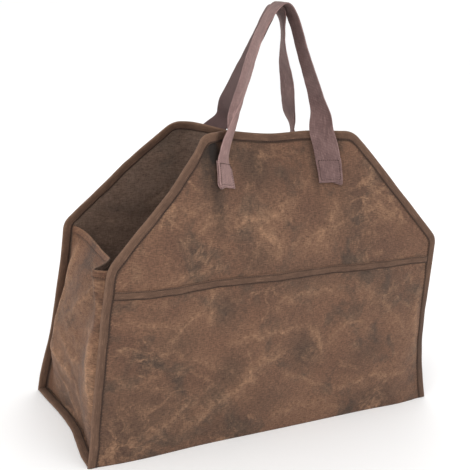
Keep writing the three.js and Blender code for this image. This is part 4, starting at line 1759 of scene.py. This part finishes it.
@dataclass
class BandPiece:
    """Band of tape sewn across the front panel."""

    panel: Panel
    outline: Outline
    sizes: Sizes = SIZES
    columns: int = 260

    def ends(self, height: float) -> float:
        """Reach of the band at one height, up to the bound edge."""
        inset = self.outline.inset
        return float(np.interp(height, inset[:, 1], inset[:, 0])) - self.sizes.seam_gap

    def build(self, finishes: Finishes) -> None:
        """Builds the band and its stitching.

        Args:
            finishes: The materials.
        """
        s = self.sizes
        low, high = s.band_top - s.tape_width, s.band_top
        shares, lifts = np.array(BAND_SECTION).T
        lifts = lifts * s.tape_wall
        across = np.linspace(-1, 1, self.columns)
        reach = mix(self.ends(low), self.ends(high), shares)
        x = across[:, None] * reach[None]
        path = x[:, BAND_MIDDLE]
        wave = ripple(path, 0.0003, 0.071) + ripple(path, 0.00022, 0.039, 1.0)
        z = mix(low, high, shares)[None] + wave[:, None]
        puff = (ripple(path, 0.00016, 0.0075) + ripple(path, 0.0002, 0.046))[:, None]
        base = s.half_wall + 0.5 * s.seam_gap
        lifted = base + lifts[None] + puff * smooth(lifts / s.tape_wall)[None]
        outer = self.panel.proud(x, z, lifted)
        inner = self.panel.proud(x, z, base * np.ones_like(x))
        marks = np.zeros((*x.shape, 3))
        # Painted shadow along both stitched edges and a painted highlight along the upper edge.
        groove = bell(shares - 0.1, 0.06) + 0.6 * bell(shares - 0.9, 0.04)
        marks[..., 1] = 0.35 * bell(shares - 0.97, 0.05)[None]
        marks[..., 2] = 0.9 * groove[None]
        piece = ClothMesh("front_band_tape", outer, inner, np.stack([z, x], -1), marks)
        finish_piece(piece.build(), finishes.tape, ["front_band"])
        thread = Thread("front_band_thread")
        for column in BAND_STITCHES:
            row, height = x[:, column], mix(low, high, shares[column]) + wave
            points = self.panel.proud(row, height, (base + lifts[column]) * np.ones_like(row))
            thread.sew(points, self.panel.normal(row, height))
        finish_piece(thread.build(), finishes.thread)


@dataclass
class Gusset:
    """Folded end of the bag between the two panels."""

    side: Side
    folds: Sequence[tuple[float, ...]]
    front: Panel
    back: Panel
    outline: Outline
    relief: Relief
    sizes: Sizes = SIZES
    seam_calm: float = 0.06

    def seat(self, panel: Panel, height: Array, distance: Array | float, lift: float) -> Array:
        """Point on a face of a panel, measured inwards from the line where the tape ends."""
        x = np.interp(height, self.outline.inset[:, 1], self.outline.inset[:, 0]) - distance
        return panel.proud(self.side.value * x, height, lift * np.ones_like(x))

    def fold_out(self, along: Array, height: Array) -> Array:
        """How far the cloth stands out of the flat end.

        Args:
            along: Shares of the way to the front panel.
            height: Heights.

        Returns:
            The distances in metres.
        """
        s = self.sizes
        start = s.gusset_foot + s.seam_stand
        share = np.clip((height - start) / (s.gusset_top - start), 0, 1)
        places, *columns = np.array(self.folds).T
        levels = np.stack([read_table(places, column, along) for column in columns])
        rises = (0.0, s.belly_level, s.upper_level, 1.0)
        return s.shoulder_depth * read_table(rises, levels, share)

    def mid(self, along: Array, height: Array) -> Array:
        """Points in the middle of the cloth.

        Args:
            along: Shares of the way to the front panel.
            height: Heights.

        Returns:
            The points.
        """
        s = self.sizes
        along, height = np.broadcast_arrays(np.asarray(along, float), np.asarray(height, float))
        sag = s.gusset_drop * np.sin(math.pi * along) * smooth(height / s.gusset_top)
        z = height - sag
        inset, lift = s.seam_gap + s.hem_wall / 2, -(s.half_wall + s.seam_gap)
        back, front = self.seat(self.back, z, inset, lift), self.seat(self.front, z, inset, lift)
        point = back + (front - back) * along[..., None]
        stand = s.seam_stand / s.shoulder_depth
        stretch = np.clip((along - stand) / (1 - 2 * stand), 0, 1)
        edge = smooth(along / self.seam_calm) * smooth((1 - along) / self.seam_calm)
        fine = self.relief.height(along * s.shoulder_depth, z) * edge
        point[..., 0] += self.side.value * (self.fold_out(stretch, height) + fine)
        return point

    def normal(self, along: Array, height: Array) -> Array:
        """Way out of the cloth.

        Args:
            along: Shares of the way to the front panel.
            height: Heights.

        Returns:
            Unit vectors.
        """
        step, rise = 0.004, 0.001
        low, high = np.maximum(along - step, 0), np.minimum(along + step, 1)
        across = self.mid(high, height) - self.mid(low, height)
        up = self.mid(along, height + rise) - self.mid(along, height - rise)
        way = unit(np.cross(across, up))
        return way * np.where(way[..., :1] * self.side.value < 0, -1.0, 1.0)


@dataclass
class GussetPiece:
    """Gusset cloth with its rolled hem and hem stitching."""

    label: str
    gusset: Gusset
    sizes: Sizes = SIZES

    def build(self, finishes: Finishes) -> None:
        """Builds the cloth and the hem's thread.

        Args:
            finishes: The materials.
        """
        s = self.sizes
        along = np.concatenate([[0, 0.008], np.linspace(0.02, 0.98, 96), [0.992, 1.0]])
        hem = s.gusset_top - s.hem_height
        heights = np.concatenate(
            [
                np.linspace(s.gusset_foot, hem - 0.0012, 104),
                [hem - 0.0006, hem, hem + 0.0006, hem + 0.0014],
                np.linspace(hem + 0.003, s.gusset_top - 0.0016, 5),
                [s.gusset_top - 0.0008, s.gusset_top - 0.0003, s.gusset_top],
            ]
        )
        wall = np.where(heights < hem - 0.0003, 0.8 * s.canvas_wall, s.hem_wall)
        wall = np.where(np.abs(heights - hem) < 0.0002, 0.6 * s.hem_wall, wall)
        rounding = (heights - (s.gusset_top - 0.0016)).clip(0) / 0.0017
        wall = wall * np.sqrt(np.clip(1 - rounding**2, 0.05, 1))
        a, h = np.meshgrid(along, heights)
        place = a * s.shoulder_depth
        middle, normal = self.gusset.mid(a, h), self.gusset.normal(a, h)
        half = wall[:, None, None] / 2
        outer, inner = middle + normal * half, middle - normal * half
        relief = self.gusset.relief
        _, tone = relief.lines(place, h)
        # Painted shade beside both seams, in the hem's groove and in the left gusset's folds.
        seam = bell(place, 0.004) + bell((1 - a) * s.shoulder_depth, 0.004)
        groove = bell(h - hem, 0.0012)
        rim = bell(h - s.gusset_top, 0.002)
        dark = relief.shade(relief.smudges_and_shade, place, h)
        marks = np.stack([dark, np.maximum(tone, 0.45 * rim), 0.6 * np.maximum(seam, groove)], -1)
        cloth = np.stack([place, h], -1)
        piece = ClothMesh(self.label + "_gusset_cloth", outer, inner, cloth, marks)
        slot = self.label + "_gusset"
        finish_piece(piece.build(), finishes.gusset, [slot])
        thread = Thread(self.label + "_hem_thread")
        row = np.linspace(0.03, 0.97, 160)
        level = np.full_like(row, hem + 0.0022)
        middle, normal = self.gusset.mid(row, level), self.gusset.normal(row, level)
        for sign in (1, -1):
            thread.sew(middle + sign * normal * (s.hem_wall / 2), sign * normal)
        finish_piece(thread.build(), finishes.thread)


@dataclass
class BottomPiece:
    """Bottom of the bag with the tape over its two end seams."""

    gussets: tuple[Gusset, Gusset]
    relief: Relief
    sizes: Sizes = SIZES
    rows: int = 90
    columns: int = 170
    tape_rows: int = 110

    def end(self, gusset: Gusset, share: Array) -> tuple[Array, Array]:
        """Edge of one end and the line where its tape ends, from the front to the back.

        Args:
            gusset: Gusset at that end.
            share: Shares of the way from the front to the back.

        Returns:
            Points on the edge, and points where the tape ends.
        """
        s = self.sizes
        lift = -(s.half_wall + 3 * s.seam_gap + s.tape_wall)
        height = np.full_like(share, s.end_lift + s.half_wall)
        stand = s.seam_stand / s.shoulder_depth
        stretch = np.clip((1 - share - stand) / (1 - 2 * stand), 0, 1)
        bow = gusset.side.value * gusset.fold_out(stretch, np.zeros_like(share))
        found = []
        for out in (s.tape_width, 0.0):
            front = gusset.seat(gusset.front, height, -out, lift)
            back = gusset.seat(gusset.back, height, -out, lift)
            point = front + (back - front) * share[:, None]
            point[:, 0] += bow
            point[:, 2] = height
            found.append(point)
        return found[0], found[1]

    def build(self, finishes: Finishes) -> None:
        """Builds the cloth, both tapes and their stitching.

        Args:
            finishes: The materials.
        """
        s = self.sizes
        left, right = self.gussets
        share = np.linspace(0, 1, self.rows)
        left_edge, left_inset = self.end(left, share)
        right_edge, right_inset = self.end(right, share)
        across = np.linspace(0, 1, self.columns)[1:-1]
        middle = left_inset[:, None] + (right_inset - left_inset)[:, None] * across[None, :, None]
        front_x = mix(-self.outline_reach(left), self.outline_reach(right), across)
        height = np.zeros_like(front_x)
        lift = -(s.half_wall + s.seam_gap) * np.ones_like(front_x)
        front = left.front.proud(front_x, height, lift)
        back = left.back.proud(front_x, height, lift)
        inner = front[None] + (back - front)[None] * share[:, None, None]
        near_end = np.minimum(across, 1 - across)
        middle = mix(middle, inner, smooth(near_end / 0.04)[None, :, None])
        near_side = np.minimum(share, 1 - share)
        ease = smooth(near_end / 0.05)[None, :] * smooth(near_side / 0.06)[:, None]
        rise = np.abs(self.relief.height(middle[..., 0], middle[..., 1])) * 0.5
        flat = s.half_wall + rise * ease
        middle[..., 2] = mix(s.end_lift + s.half_wall, flat, smooth(near_end / 0.02)[None])
        before = np.stack([left_edge, left_inset], 1)
        grid = np.concatenate([before, middle, np.stack([right_inset, right_edge], 1)], 1)
        up = np.array([0.0, 0.0, 0.8 * s.half_wall])
        _, tone = self.relief.lines(grid[..., 0], grid[..., 1])
        marks = np.stack([np.zeros_like(tone), tone, np.zeros_like(tone)], -1)
        piece = ClothMesh("bottom_cloth", grid + up, grid - up, grid[..., :2].copy(), marks)
        finish_piece(piece.build(), finishes.canvas, ["bottom_panel"])
        self.bind(left.side, left_edge, left_inset, finishes)
        self.bind(right.side, right_edge, right_inset, finishes)

    def bind(self, side: Side, edge: Array, inset: Array, finishes: Finishes) -> None:
        """Builds the tape over one end seam and its upper row of stitches.

        Args:
            side: The end.
            edge: Points on the edge.
            inset: Points where the tape ends.
            finishes: The materials.
        """
        label = side.name.lower() + "_base"
        slot = label + "_binding"
        places = np.linspace(0, along_path(edge)[-1], self.tape_rows)
        inset_places = places * along_path(inset)[-1] / places[-1]
        way = np.tile([0.0, 0.0, 1.0], (self.tape_rows, 1))
        edges, insets = resample(edge, places), resample(inset, inset_places)
        sweep = TapeSweep(label + "_tape", edges, insets, way, way)
        mesh = sweep.mesh()
        for grid in (mesh.outer, mesh.inner):
            grid[..., 2] = np.maximum(grid[..., 2], self.sizes.floor_lift)
        finish_piece(mesh.build(), finishes.tape, [slot])
        thread = Thread(label + "_thread")
        sweep.sew(thread)
        thread.rows = thread.rows[:1]
        finish_piece(thread.build(), finishes.thread)

    @staticmethod
    def outline_reach(gusset: Gusset) -> float:
        """Reach of the line where the tape ends at the foot."""
        return float(gusset.outline.inset[0, 0])


@dataclass
class HandlePiece:
    """Webbing handle with two folded ends sewn on a panel, and its box stitching."""

    label: str
    panel: Panel
    peak: float
    sizes: Sizes = SIZES
    soft_reach: float = 0.018
    soft_width: float = 0.0075
    stitch_inset: float = 0.0032
    cell: float = 0.00058

    def leg(self, side: Side) -> Leg:
        """Table of one leg."""
        return LEGS[(self.panel.facing, side)]

    def place_at(self, side: Side, z: Array) -> Array:
        """Middle of a leg in x while it is beside the panel.

        Args:
            side: Side of the leg.
            z: Heights in metres.

        Returns:
            The places in x.
        """
        s, leg = self.sizes, self.leg(side)
        half = s.handle_spread / 2
        share = np.maximum(0, (z - s.leg_foot) / (self.peak - s.leg_foot)) / LEG_KEYS[0]
        reach = mix(half * leg.patch, half * leg.reach[0], (smooth(share) + share) / 2)
        return side.value * reach

    def sewn_keys(self, side: Side, lift: float, heights: Array) -> tuple[Array, Array]:
        """Centres and width ways of the stretch that lies on the panel.

        Args:
            side: Side of the leg.
            lift: Lift out of the cloth's middle.
            heights: Heights of the stations.

        Returns:
            The centres, and unit ways across the webbing.
        """
        s = self.sizes
        x = self.place_at(side, heights)
        z = np.minimum(heights, s.body_height)
        half = 0.36 * s.webbing_width
        ends = [self.panel.proud(x + half * sign, z, np.full_like(x, lift)) for sign in (-1, 1)]
        way = unit(ends[1] - ends[0])
        centre = (ends[0] + ends[1]) / 2
        centre[:, 2] = heights
        return centre, way

    def loose_keys(self, side: Side, lift: float) -> tuple[Array, Array, float]:
        """Stretch that stands off the panel up to the rim.

        Args:
            side: The side of the leg.
            lift: Lift of the webbing's middle out of the cloth's middle.

        Returns:
            Centres, width ways, and how far the webbing stands off at the rim.
        """
        s, leg = self.sizes, self.leg(side)
        face = self.panel.facing.value
        heights = np.array([s.patch_top + 0.01, s.body_height - 0.013, s.body_height + 0.003])
        centre, way = self.sewn_keys(side, lift, heights)
        own = np.arctan2(way[:, 1] * side.value * face, way[:, 0])
        turn = mix(own, math.radians(leg.rim_turn), np.array([0.25, 0.7, 1.0]))
        stand = 0.45 * s.webbing_width * np.clip(np.sin(turn - own), 0, 1)
        centre[:, 1] += face * stand
        centre[:, 0] += face * 0.5 * stand + leg.nudge * np.array([0.3, 0.7, 1.0])
        way = np.stack([np.cos(turn), side.value * face * np.sin(turn), np.zeros_like(turn)], 1)
        return centre, way, float(stand[-1])

    def leg_stations(self, side: Side) -> tuple[Array, Array, Array]:
        """Centres, width ways and traits of one leg, from its folded end up.

        Args:
            side: The side of the leg.

        Returns:
            Points, unit ways across the webbing, and rows of cup, skew, painted light and painted
            shade.
        """
        s, leg = self.sizes, self.leg(side)
        wall, under = s.webbing_wall, s.half_wall + s.patch_gap
        face = self.panel.facing.value
        fold = s.patch_bottom + 0.001
        tucked = np.linspace(s.patch_top - 0.002, fold, 6)
        climb = np.array([fold, s.patch_bottom + 0.011, s.patch_bottom + 0.021, s.patch_top])
        low_centre, low_way = self.sewn_keys(side, under + 0.5 * wall, tucked)
        top_centre, top_way = self.sewn_keys(side, under + 1.5 * wall, climb)
        turn_centre = (low_centre[-1] + top_centre[0]) / 2 - np.array([0, 0, 0.5 * wall])
        low_centre[:, 0] += 0.0008 * side.value
        loose_centre, loose_way, stand = self.loose_keys(side, under + 1.5 * wall)
        rim = self.sewn_keys(side, under + 1.5 * wall, np.array([s.body_height]))[0][0]
        drifts, rises = np.array(LEG_DRIFTS), np.array(LEG_KEYS)
        arch_y = face * s.arch_offset / 2 + s.shift_y
        across = side.value * s.handle_spread / 2 * np.array(leg.reach) + s.shift_x
        free = np.stack([across, mix(rim[1], arch_y, drifts), mix(s.leg_foot, self.peak, rises)], 1)
        carry = face * stand * np.array([0.5, 0.22, 0.08, 0.0, 0.0, 0.0, 0.0])
        free[:, 0] += 0.5 * carry
        free[:2, 0] += leg.nudge * np.array([0.5, 0.2])
        free[:, 1] += carry
        angle = math.pi / 2 * np.array(leg.turn)
        ways = np.stack([np.cos(angle), side.value * face * np.sin(angle), np.zeros_like(angle)], 1)
        centre = np.concatenate([low_centre, turn_centre[None], top_centre, loose_centre, free])
        way = np.concatenate([low_way, low_way[-1:], top_way, loose_way, ways])
        sewn = len(low_centre) + 1 + len(top_centre)
        cup = np.concatenate([np.zeros(sewn), [0.3, 0.8, 1.0, 1.0, 0.6, 0.3, 0.2, 0.1, 0, 0]])
        skew = np.concatenate([np.ones(sewn), [0.5, 0.0, 0.0], np.zeros(len(free))]) * leg.skew
        painted_light = np.concatenate([np.ones(len(way) - 1), [0.5]]) * leg.painted_light
        shaded = np.concatenate([np.ones(len(way) - 2), [0.6, 0.3]]) * leg.shaded
        return centre, way, np.stack([cup * leg.cup, skew, painted_light, shaded], 1)

    def stations(self) -> tuple[Array, Array, Array]:
        """Centre line, width ways and traits from one folded end to the other.

        Returns:
            Points, unit ways, and rows of cup, skew, painted light and painted shade.
        """
        s = self.sizes
        face = self.panel.facing.value
        arch_y = face * s.arch_offset / 2 + s.shift_y
        top = np.array([[s.arch_shift + s.shift_x, arch_y, self.peak]])
        top_way = np.array([[0.0, -face, 0.0]])
        left, left_way, left_traits = self.leg_stations(Side.LEFT)
        right, right_way, right_traits = self.leg_stations(Side.RIGHT)
        centre = np.concatenate([left, top, right[::-1]])
        way = np.concatenate([left_way, top_way, -right_way[::-1]])
        flip = np.array([-1.0, -1.0, 1.0, 1.0])
        traits = np.concatenate([left_traits, np.zeros((1, 4)), right_traits[::-1] * flip])
        return centre, way, traits

    def soften(self, rows: Array, places: Array, height: Array) -> Array:
        """Rounds a path where the webbing hangs free of the panel.

        Args:
            rows: One row for each place.
            places: Distances along the path.
            height: Height at each place.

        Returns:
            The softened rows.
        """
        step = places[1] - places[0]
        reach = round(self.soft_reach / step)
        kernel = bell(np.arange(-reach, reach + 1) * step, self.soft_width)
        kernel /= kernel.sum()
        wide = np.pad(rows, ((reach, reach), (0, 0)), mode="edge")
        soft = np.stack([np.convolve(column, kernel, mode="valid") for column in wide.T], 1)
        share = smooth((height - self.sizes.patch_top - 0.004) / 0.016)[:, None]
        return mix(rows, soft, share)

    def build(self, finishes: Finishes) -> None:
        """Builds the webbing and its stitching.

        Args:
            finishes: The materials.
        """
        s = self.sizes
        centre, way, traits = self.stations()
        at = along_path(centre)
        total = at[-1]
        places = np.linspace(0, total, round(total / self.cell) + 1)
        line = np.stack([read_table(at, centre[:, k], places) for k in range(3)], 1)
        width = unit(np.stack([read_table(at, way[:, k], places) for k in range(3)], 1))
        height = line[:, 2].copy()
        line, width = self.soften(line, places, height), unit(self.soften(width, places, height))
        cups, skews, painted_light, shaded = (np.interp(places, at, traits[:, k]) for k in range(4))
        tangent = unit(np.gradient(line, axis=0))
        width = unit(width - tangent * np.einsum("ij,ij->i", width, tangent)[:, None])
        normal = unit(np.cross(width, tangent))
        middle, edge = np.linspace(-0.9, 0.9, 15), np.array([0.95, 0.985, 1.0])
        across = np.concatenate([-edge[::-1], middle, edge])
        thick = np.sqrt(np.clip(1.02 - np.abs(across) ** 24, 0.06, 1))
        rib = np.abs(np.sin(places * math.pi / s.rib_pitch)) ** 0.6
        rib_height = 0.00022 * rib[:, None] * smooth((1 - np.abs(across)) / 0.06)[None]
        fuzz = Waves(5, 0.02).at(places[:, None], across[None] * 0.019) * 0.00012
        half = s.webbing_wall / 2 * thick[None] - 0.0001 + rib_height
        offset = across[None, :] * s.webbing_width / 2
        edge_wander = ripple(places, 0.00025, 0.043)[:, None] * np.abs(across)[None]
        hollow = cups[:, None] * (0.6 - 1.8 * across[None] ** 2) + fuzz
        base = line[:, None] + width[:, None] * (offset + edge_wander)[..., None]
        base = base + normal[:, None] * hollow[..., None]
        base[..., 2] += skews[:, None] * offset
        thickness = normal[:, None] * half[..., None]
        outer, inner = base + thickness, base - thickness
        cloth = np.stack(np.meshgrid(across * s.webbing_width / 2, places, indexing="xy"), -1)
        rim = 0.4 * smooth((np.abs(across) - 0.93) / 0.05)[None]
        fold = bell(height - s.patch_bottom, 0.002)[:, None]
        marks = np.zeros((*cloth.shape[:2], 3))
        # Painted light on lit legs and painted shade on shaded legs.
        marks[..., 1] = np.clip(painted_light[:, None] + rim + 0.3 * fold, 0, 1)
        marks[..., 2] = shaded[:, None]
        piece = ClothMesh(self.label + "_webbing", outer, inner, cloth, marks)
        slot = self.label + "_handle"
        finish_piece(piece.build(), finishes.webbing, [slot])
        thread = Thread(self.label + "_box_thread", pitch=0.003, length=0.0026)
        for side in Side:
            self.box(thread, side)
        finish_piece(thread.build(), finishes.thread)

    def box(self, thread: Thread, side: Side) -> None:
        """Box of stitches that holds one folded end.

        Args:
            thread: Thread that takes the stitches.
            side: Side of the leg.
        """
        s = self.sizes
        half = s.webbing_width / 2 - self.stitch_inset
        low, high = s.patch_bottom + self.stitch_inset, s.patch_top - 0.0005
        lift = s.half_wall + s.patch_gap + 2 * s.webbing_wall + 0.00005
        corners = np.array([(-half, low), (half, low), (half, high), (-half, high), (-half, low)])
        for start, end in zip(corners[:-1], corners[1:]):
            share = np.linspace(0, 1, 24)
            offset, z = mix(start[0], end[0], share), mix(start[1], end[1], share)
            centre, way = self.sewn_keys(side, lift, z)
            points = centre + way * offset[:, None]
            points[:, 2] += self.leg(side).skew * offset
            thread.sew(points, self.panel.normal(self.place_at(side, z), z))


@dataclass(frozen=True)
class Lamp:
    """Soft square light that looks at the bag: sizes in metres, power in watts."""

    name: str
    place: tuple[float, float, float]
    size: float
    power: float
    tint: Colour
    aim: tuple[float, float, float] = (0.0, 0.0, 0.22)

    def build(self) -> None:
        """Adds the light to the scene."""
        data = bpy.data.lights.new(self.name, "AREA")
        data.shape = "SQUARE"
        data.size = self.size
        data.energy = self.power
        data.color = self.tint
        lamp = bpy.data.objects.new(self.name, data)
        lamp.location = self.place
        lamp.rotation_mode = "QUATERNION"
        lamp.rotation_quaternion = (Vector(self.aim) - Vector(self.place)).to_track_quat("-Z", "Y")
        bpy.context.scene.collection.objects.link(lamp)


LAMPS = (
    Lamp("key_light", (-1.7, -1.5, 2.1), 1.4, 17.0, (1.0, 0.98, 0.95)),
    Lamp("front_light", (1.1, -2.2, 1.5), 1.6, 7.0, (1.0, 1.0, 1.0)),
    Lamp("rim_light", (1.2, 1.9, 1.9), 1.4, 8.0, (0.97, 0.98, 1.0)),
)


@dataclass(frozen=True)
class Studio:
    """Camera at the photo's angle, soft lights and a pale floor."""

    place: tuple[float, float, float] = (-0.5836, -1.0518, 0.6481)
    pitch: float = 0.298318
    roll: float = 0.0732656
    yaw: float = -0.4856313
    lens: float = 61.26
    sky_strength: float = 1.04
    floor_reach: float = 20.0
    floor_tone: float = 0.97

    def camera(self) -> None:
        """Sets the camera."""
        right = Vector((math.cos(self.yaw), math.sin(self.yaw), 0))
        ahead = Vector(
            (
                -math.sin(self.yaw) * math.cos(self.pitch),
                math.cos(self.yaw) * math.cos(self.pitch),
                -math.sin(self.pitch),
            )
        )
        up = right.cross(ahead)
        side = right * math.cos(self.roll) + up * math.sin(self.roll)
        top = up * math.cos(self.roll) - right * math.sin(self.roll)
        data = bpy.data.cameras.new("camera")
        data.sensor_width = 36.0
        data.lens = self.lens
        data.clip_end = 100.0
        camera = bpy.data.objects.new("camera", data)
        axes = Matrix((side, top, -ahead)).transposed().to_4x4()
        camera.matrix_world = Matrix.Translation(Vector(self.place)) @ axes
        bpy.context.scene.collection.objects.link(camera)
        bpy.context.scene.camera = camera

    def build(self) -> None:
        """Makes the camera, the lights, the sky and the floor."""
        self.camera()
        for lamp in LAMPS:
            lamp.build()
        world = bpy.data.worlds.new("soft_sky")
        world.use_nodes = True
        sky = world.node_tree.nodes["Background"]
        sky.inputs["Color"].default_value = (1.0, 1.0, 1.0, 1.0)
        sky.inputs["Strength"].default_value = self.sky_strength
        bpy.context.scene.world = world
        mesh = bpy.data.meshes.new("floor")
        turns = ((-1, -1), (1, -1), (1, 1), (-1, 1))
        corners = [(x * self.floor_reach, y * self.floor_reach, 0) for x, y in turns]
        mesh.from_pydata(corners, [], [(0, 1, 2, 3)])
        floor = bpy.data.objects.new("floor", mesh)
        mesh.materials.append(Plain("pale_floor", (self.floor_tone,) * 3).build())
        bpy.context.scene.collection.objects.link(floor)
        bpy.context.scene.view_settings.view_transform = "Standard"


def main() -> None:
    """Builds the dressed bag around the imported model."""
    logging.basicConfig(level=logging.INFO, format="%(message)s")
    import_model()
    Studio().build()
    finishes = Finishes.make()
    outline = Outline.of(SIZES, 0.0027)
    rough_outline = Outline.of(SIZES, 0.0036)
    scale = (SIZES.base_length / 2, SIZES.body_height)
    front_relief = Relief(11, FRONT_CREASES, scale, 1.0, FRONT_SMUDGES_AND_SHADE, FRONT_FOLD_SHADE)
    back_relief = Relief(23, stray_creases(7, 26, 0.66, 0.0010, 0.55), scale)
    front = Panel(Facing.FRONT, FRONT_DENTS, FRONT_PULLS, FRONT_SETTLES, front_relief)
    back = Panel(Facing.BACK, BACK_DENTS, BACK_PULLS, BACK_SETTLES, back_relief)
    PanelPiece("front", front, outline, 210, FRONT_SHADED_TAPE).build(finishes.canvas, finishes)
    PanelPiece("back", back, rough_outline, 150).build(finishes.back_canvas, finishes)
    BandPiece(front, outline).build(finishes)
    end_scale = (SIZES.shoulder_depth, SIZES.gusset_top)
    left_relief = Relief(31, LEFT_CREASES, end_scale, 1.0, LEFT_PAINTED_SHADE)
    right_relief = Relief(41, RIGHT_CREASES, end_scale)
    left = Gusset(Side.LEFT, LEFT_FOLDS, front, back, outline, left_relief)
    right = Gusset(Side.RIGHT, RIGHT_FOLDS, front, back, outline, right_relief)
    GussetPiece("left", left).build(finishes)
    GussetPiece("right", right).build(finishes)
    bottom_relief = Relief(53, stray_creases(9, 10, 0.4, 0.0006, 0.4), scale, 0.4)
    BottomPiece((left, right), bottom_relief).build(finishes)
    HandlePiece("front", front, SIZES.handle_peak).build(finishes)
    nested = SIZES.handle_peak - SIZES.webbing_wall - SIZES.nest_gap
    HandlePiece("back", back, nested).build(finishes)


if __name__ == "__main__":
    main()
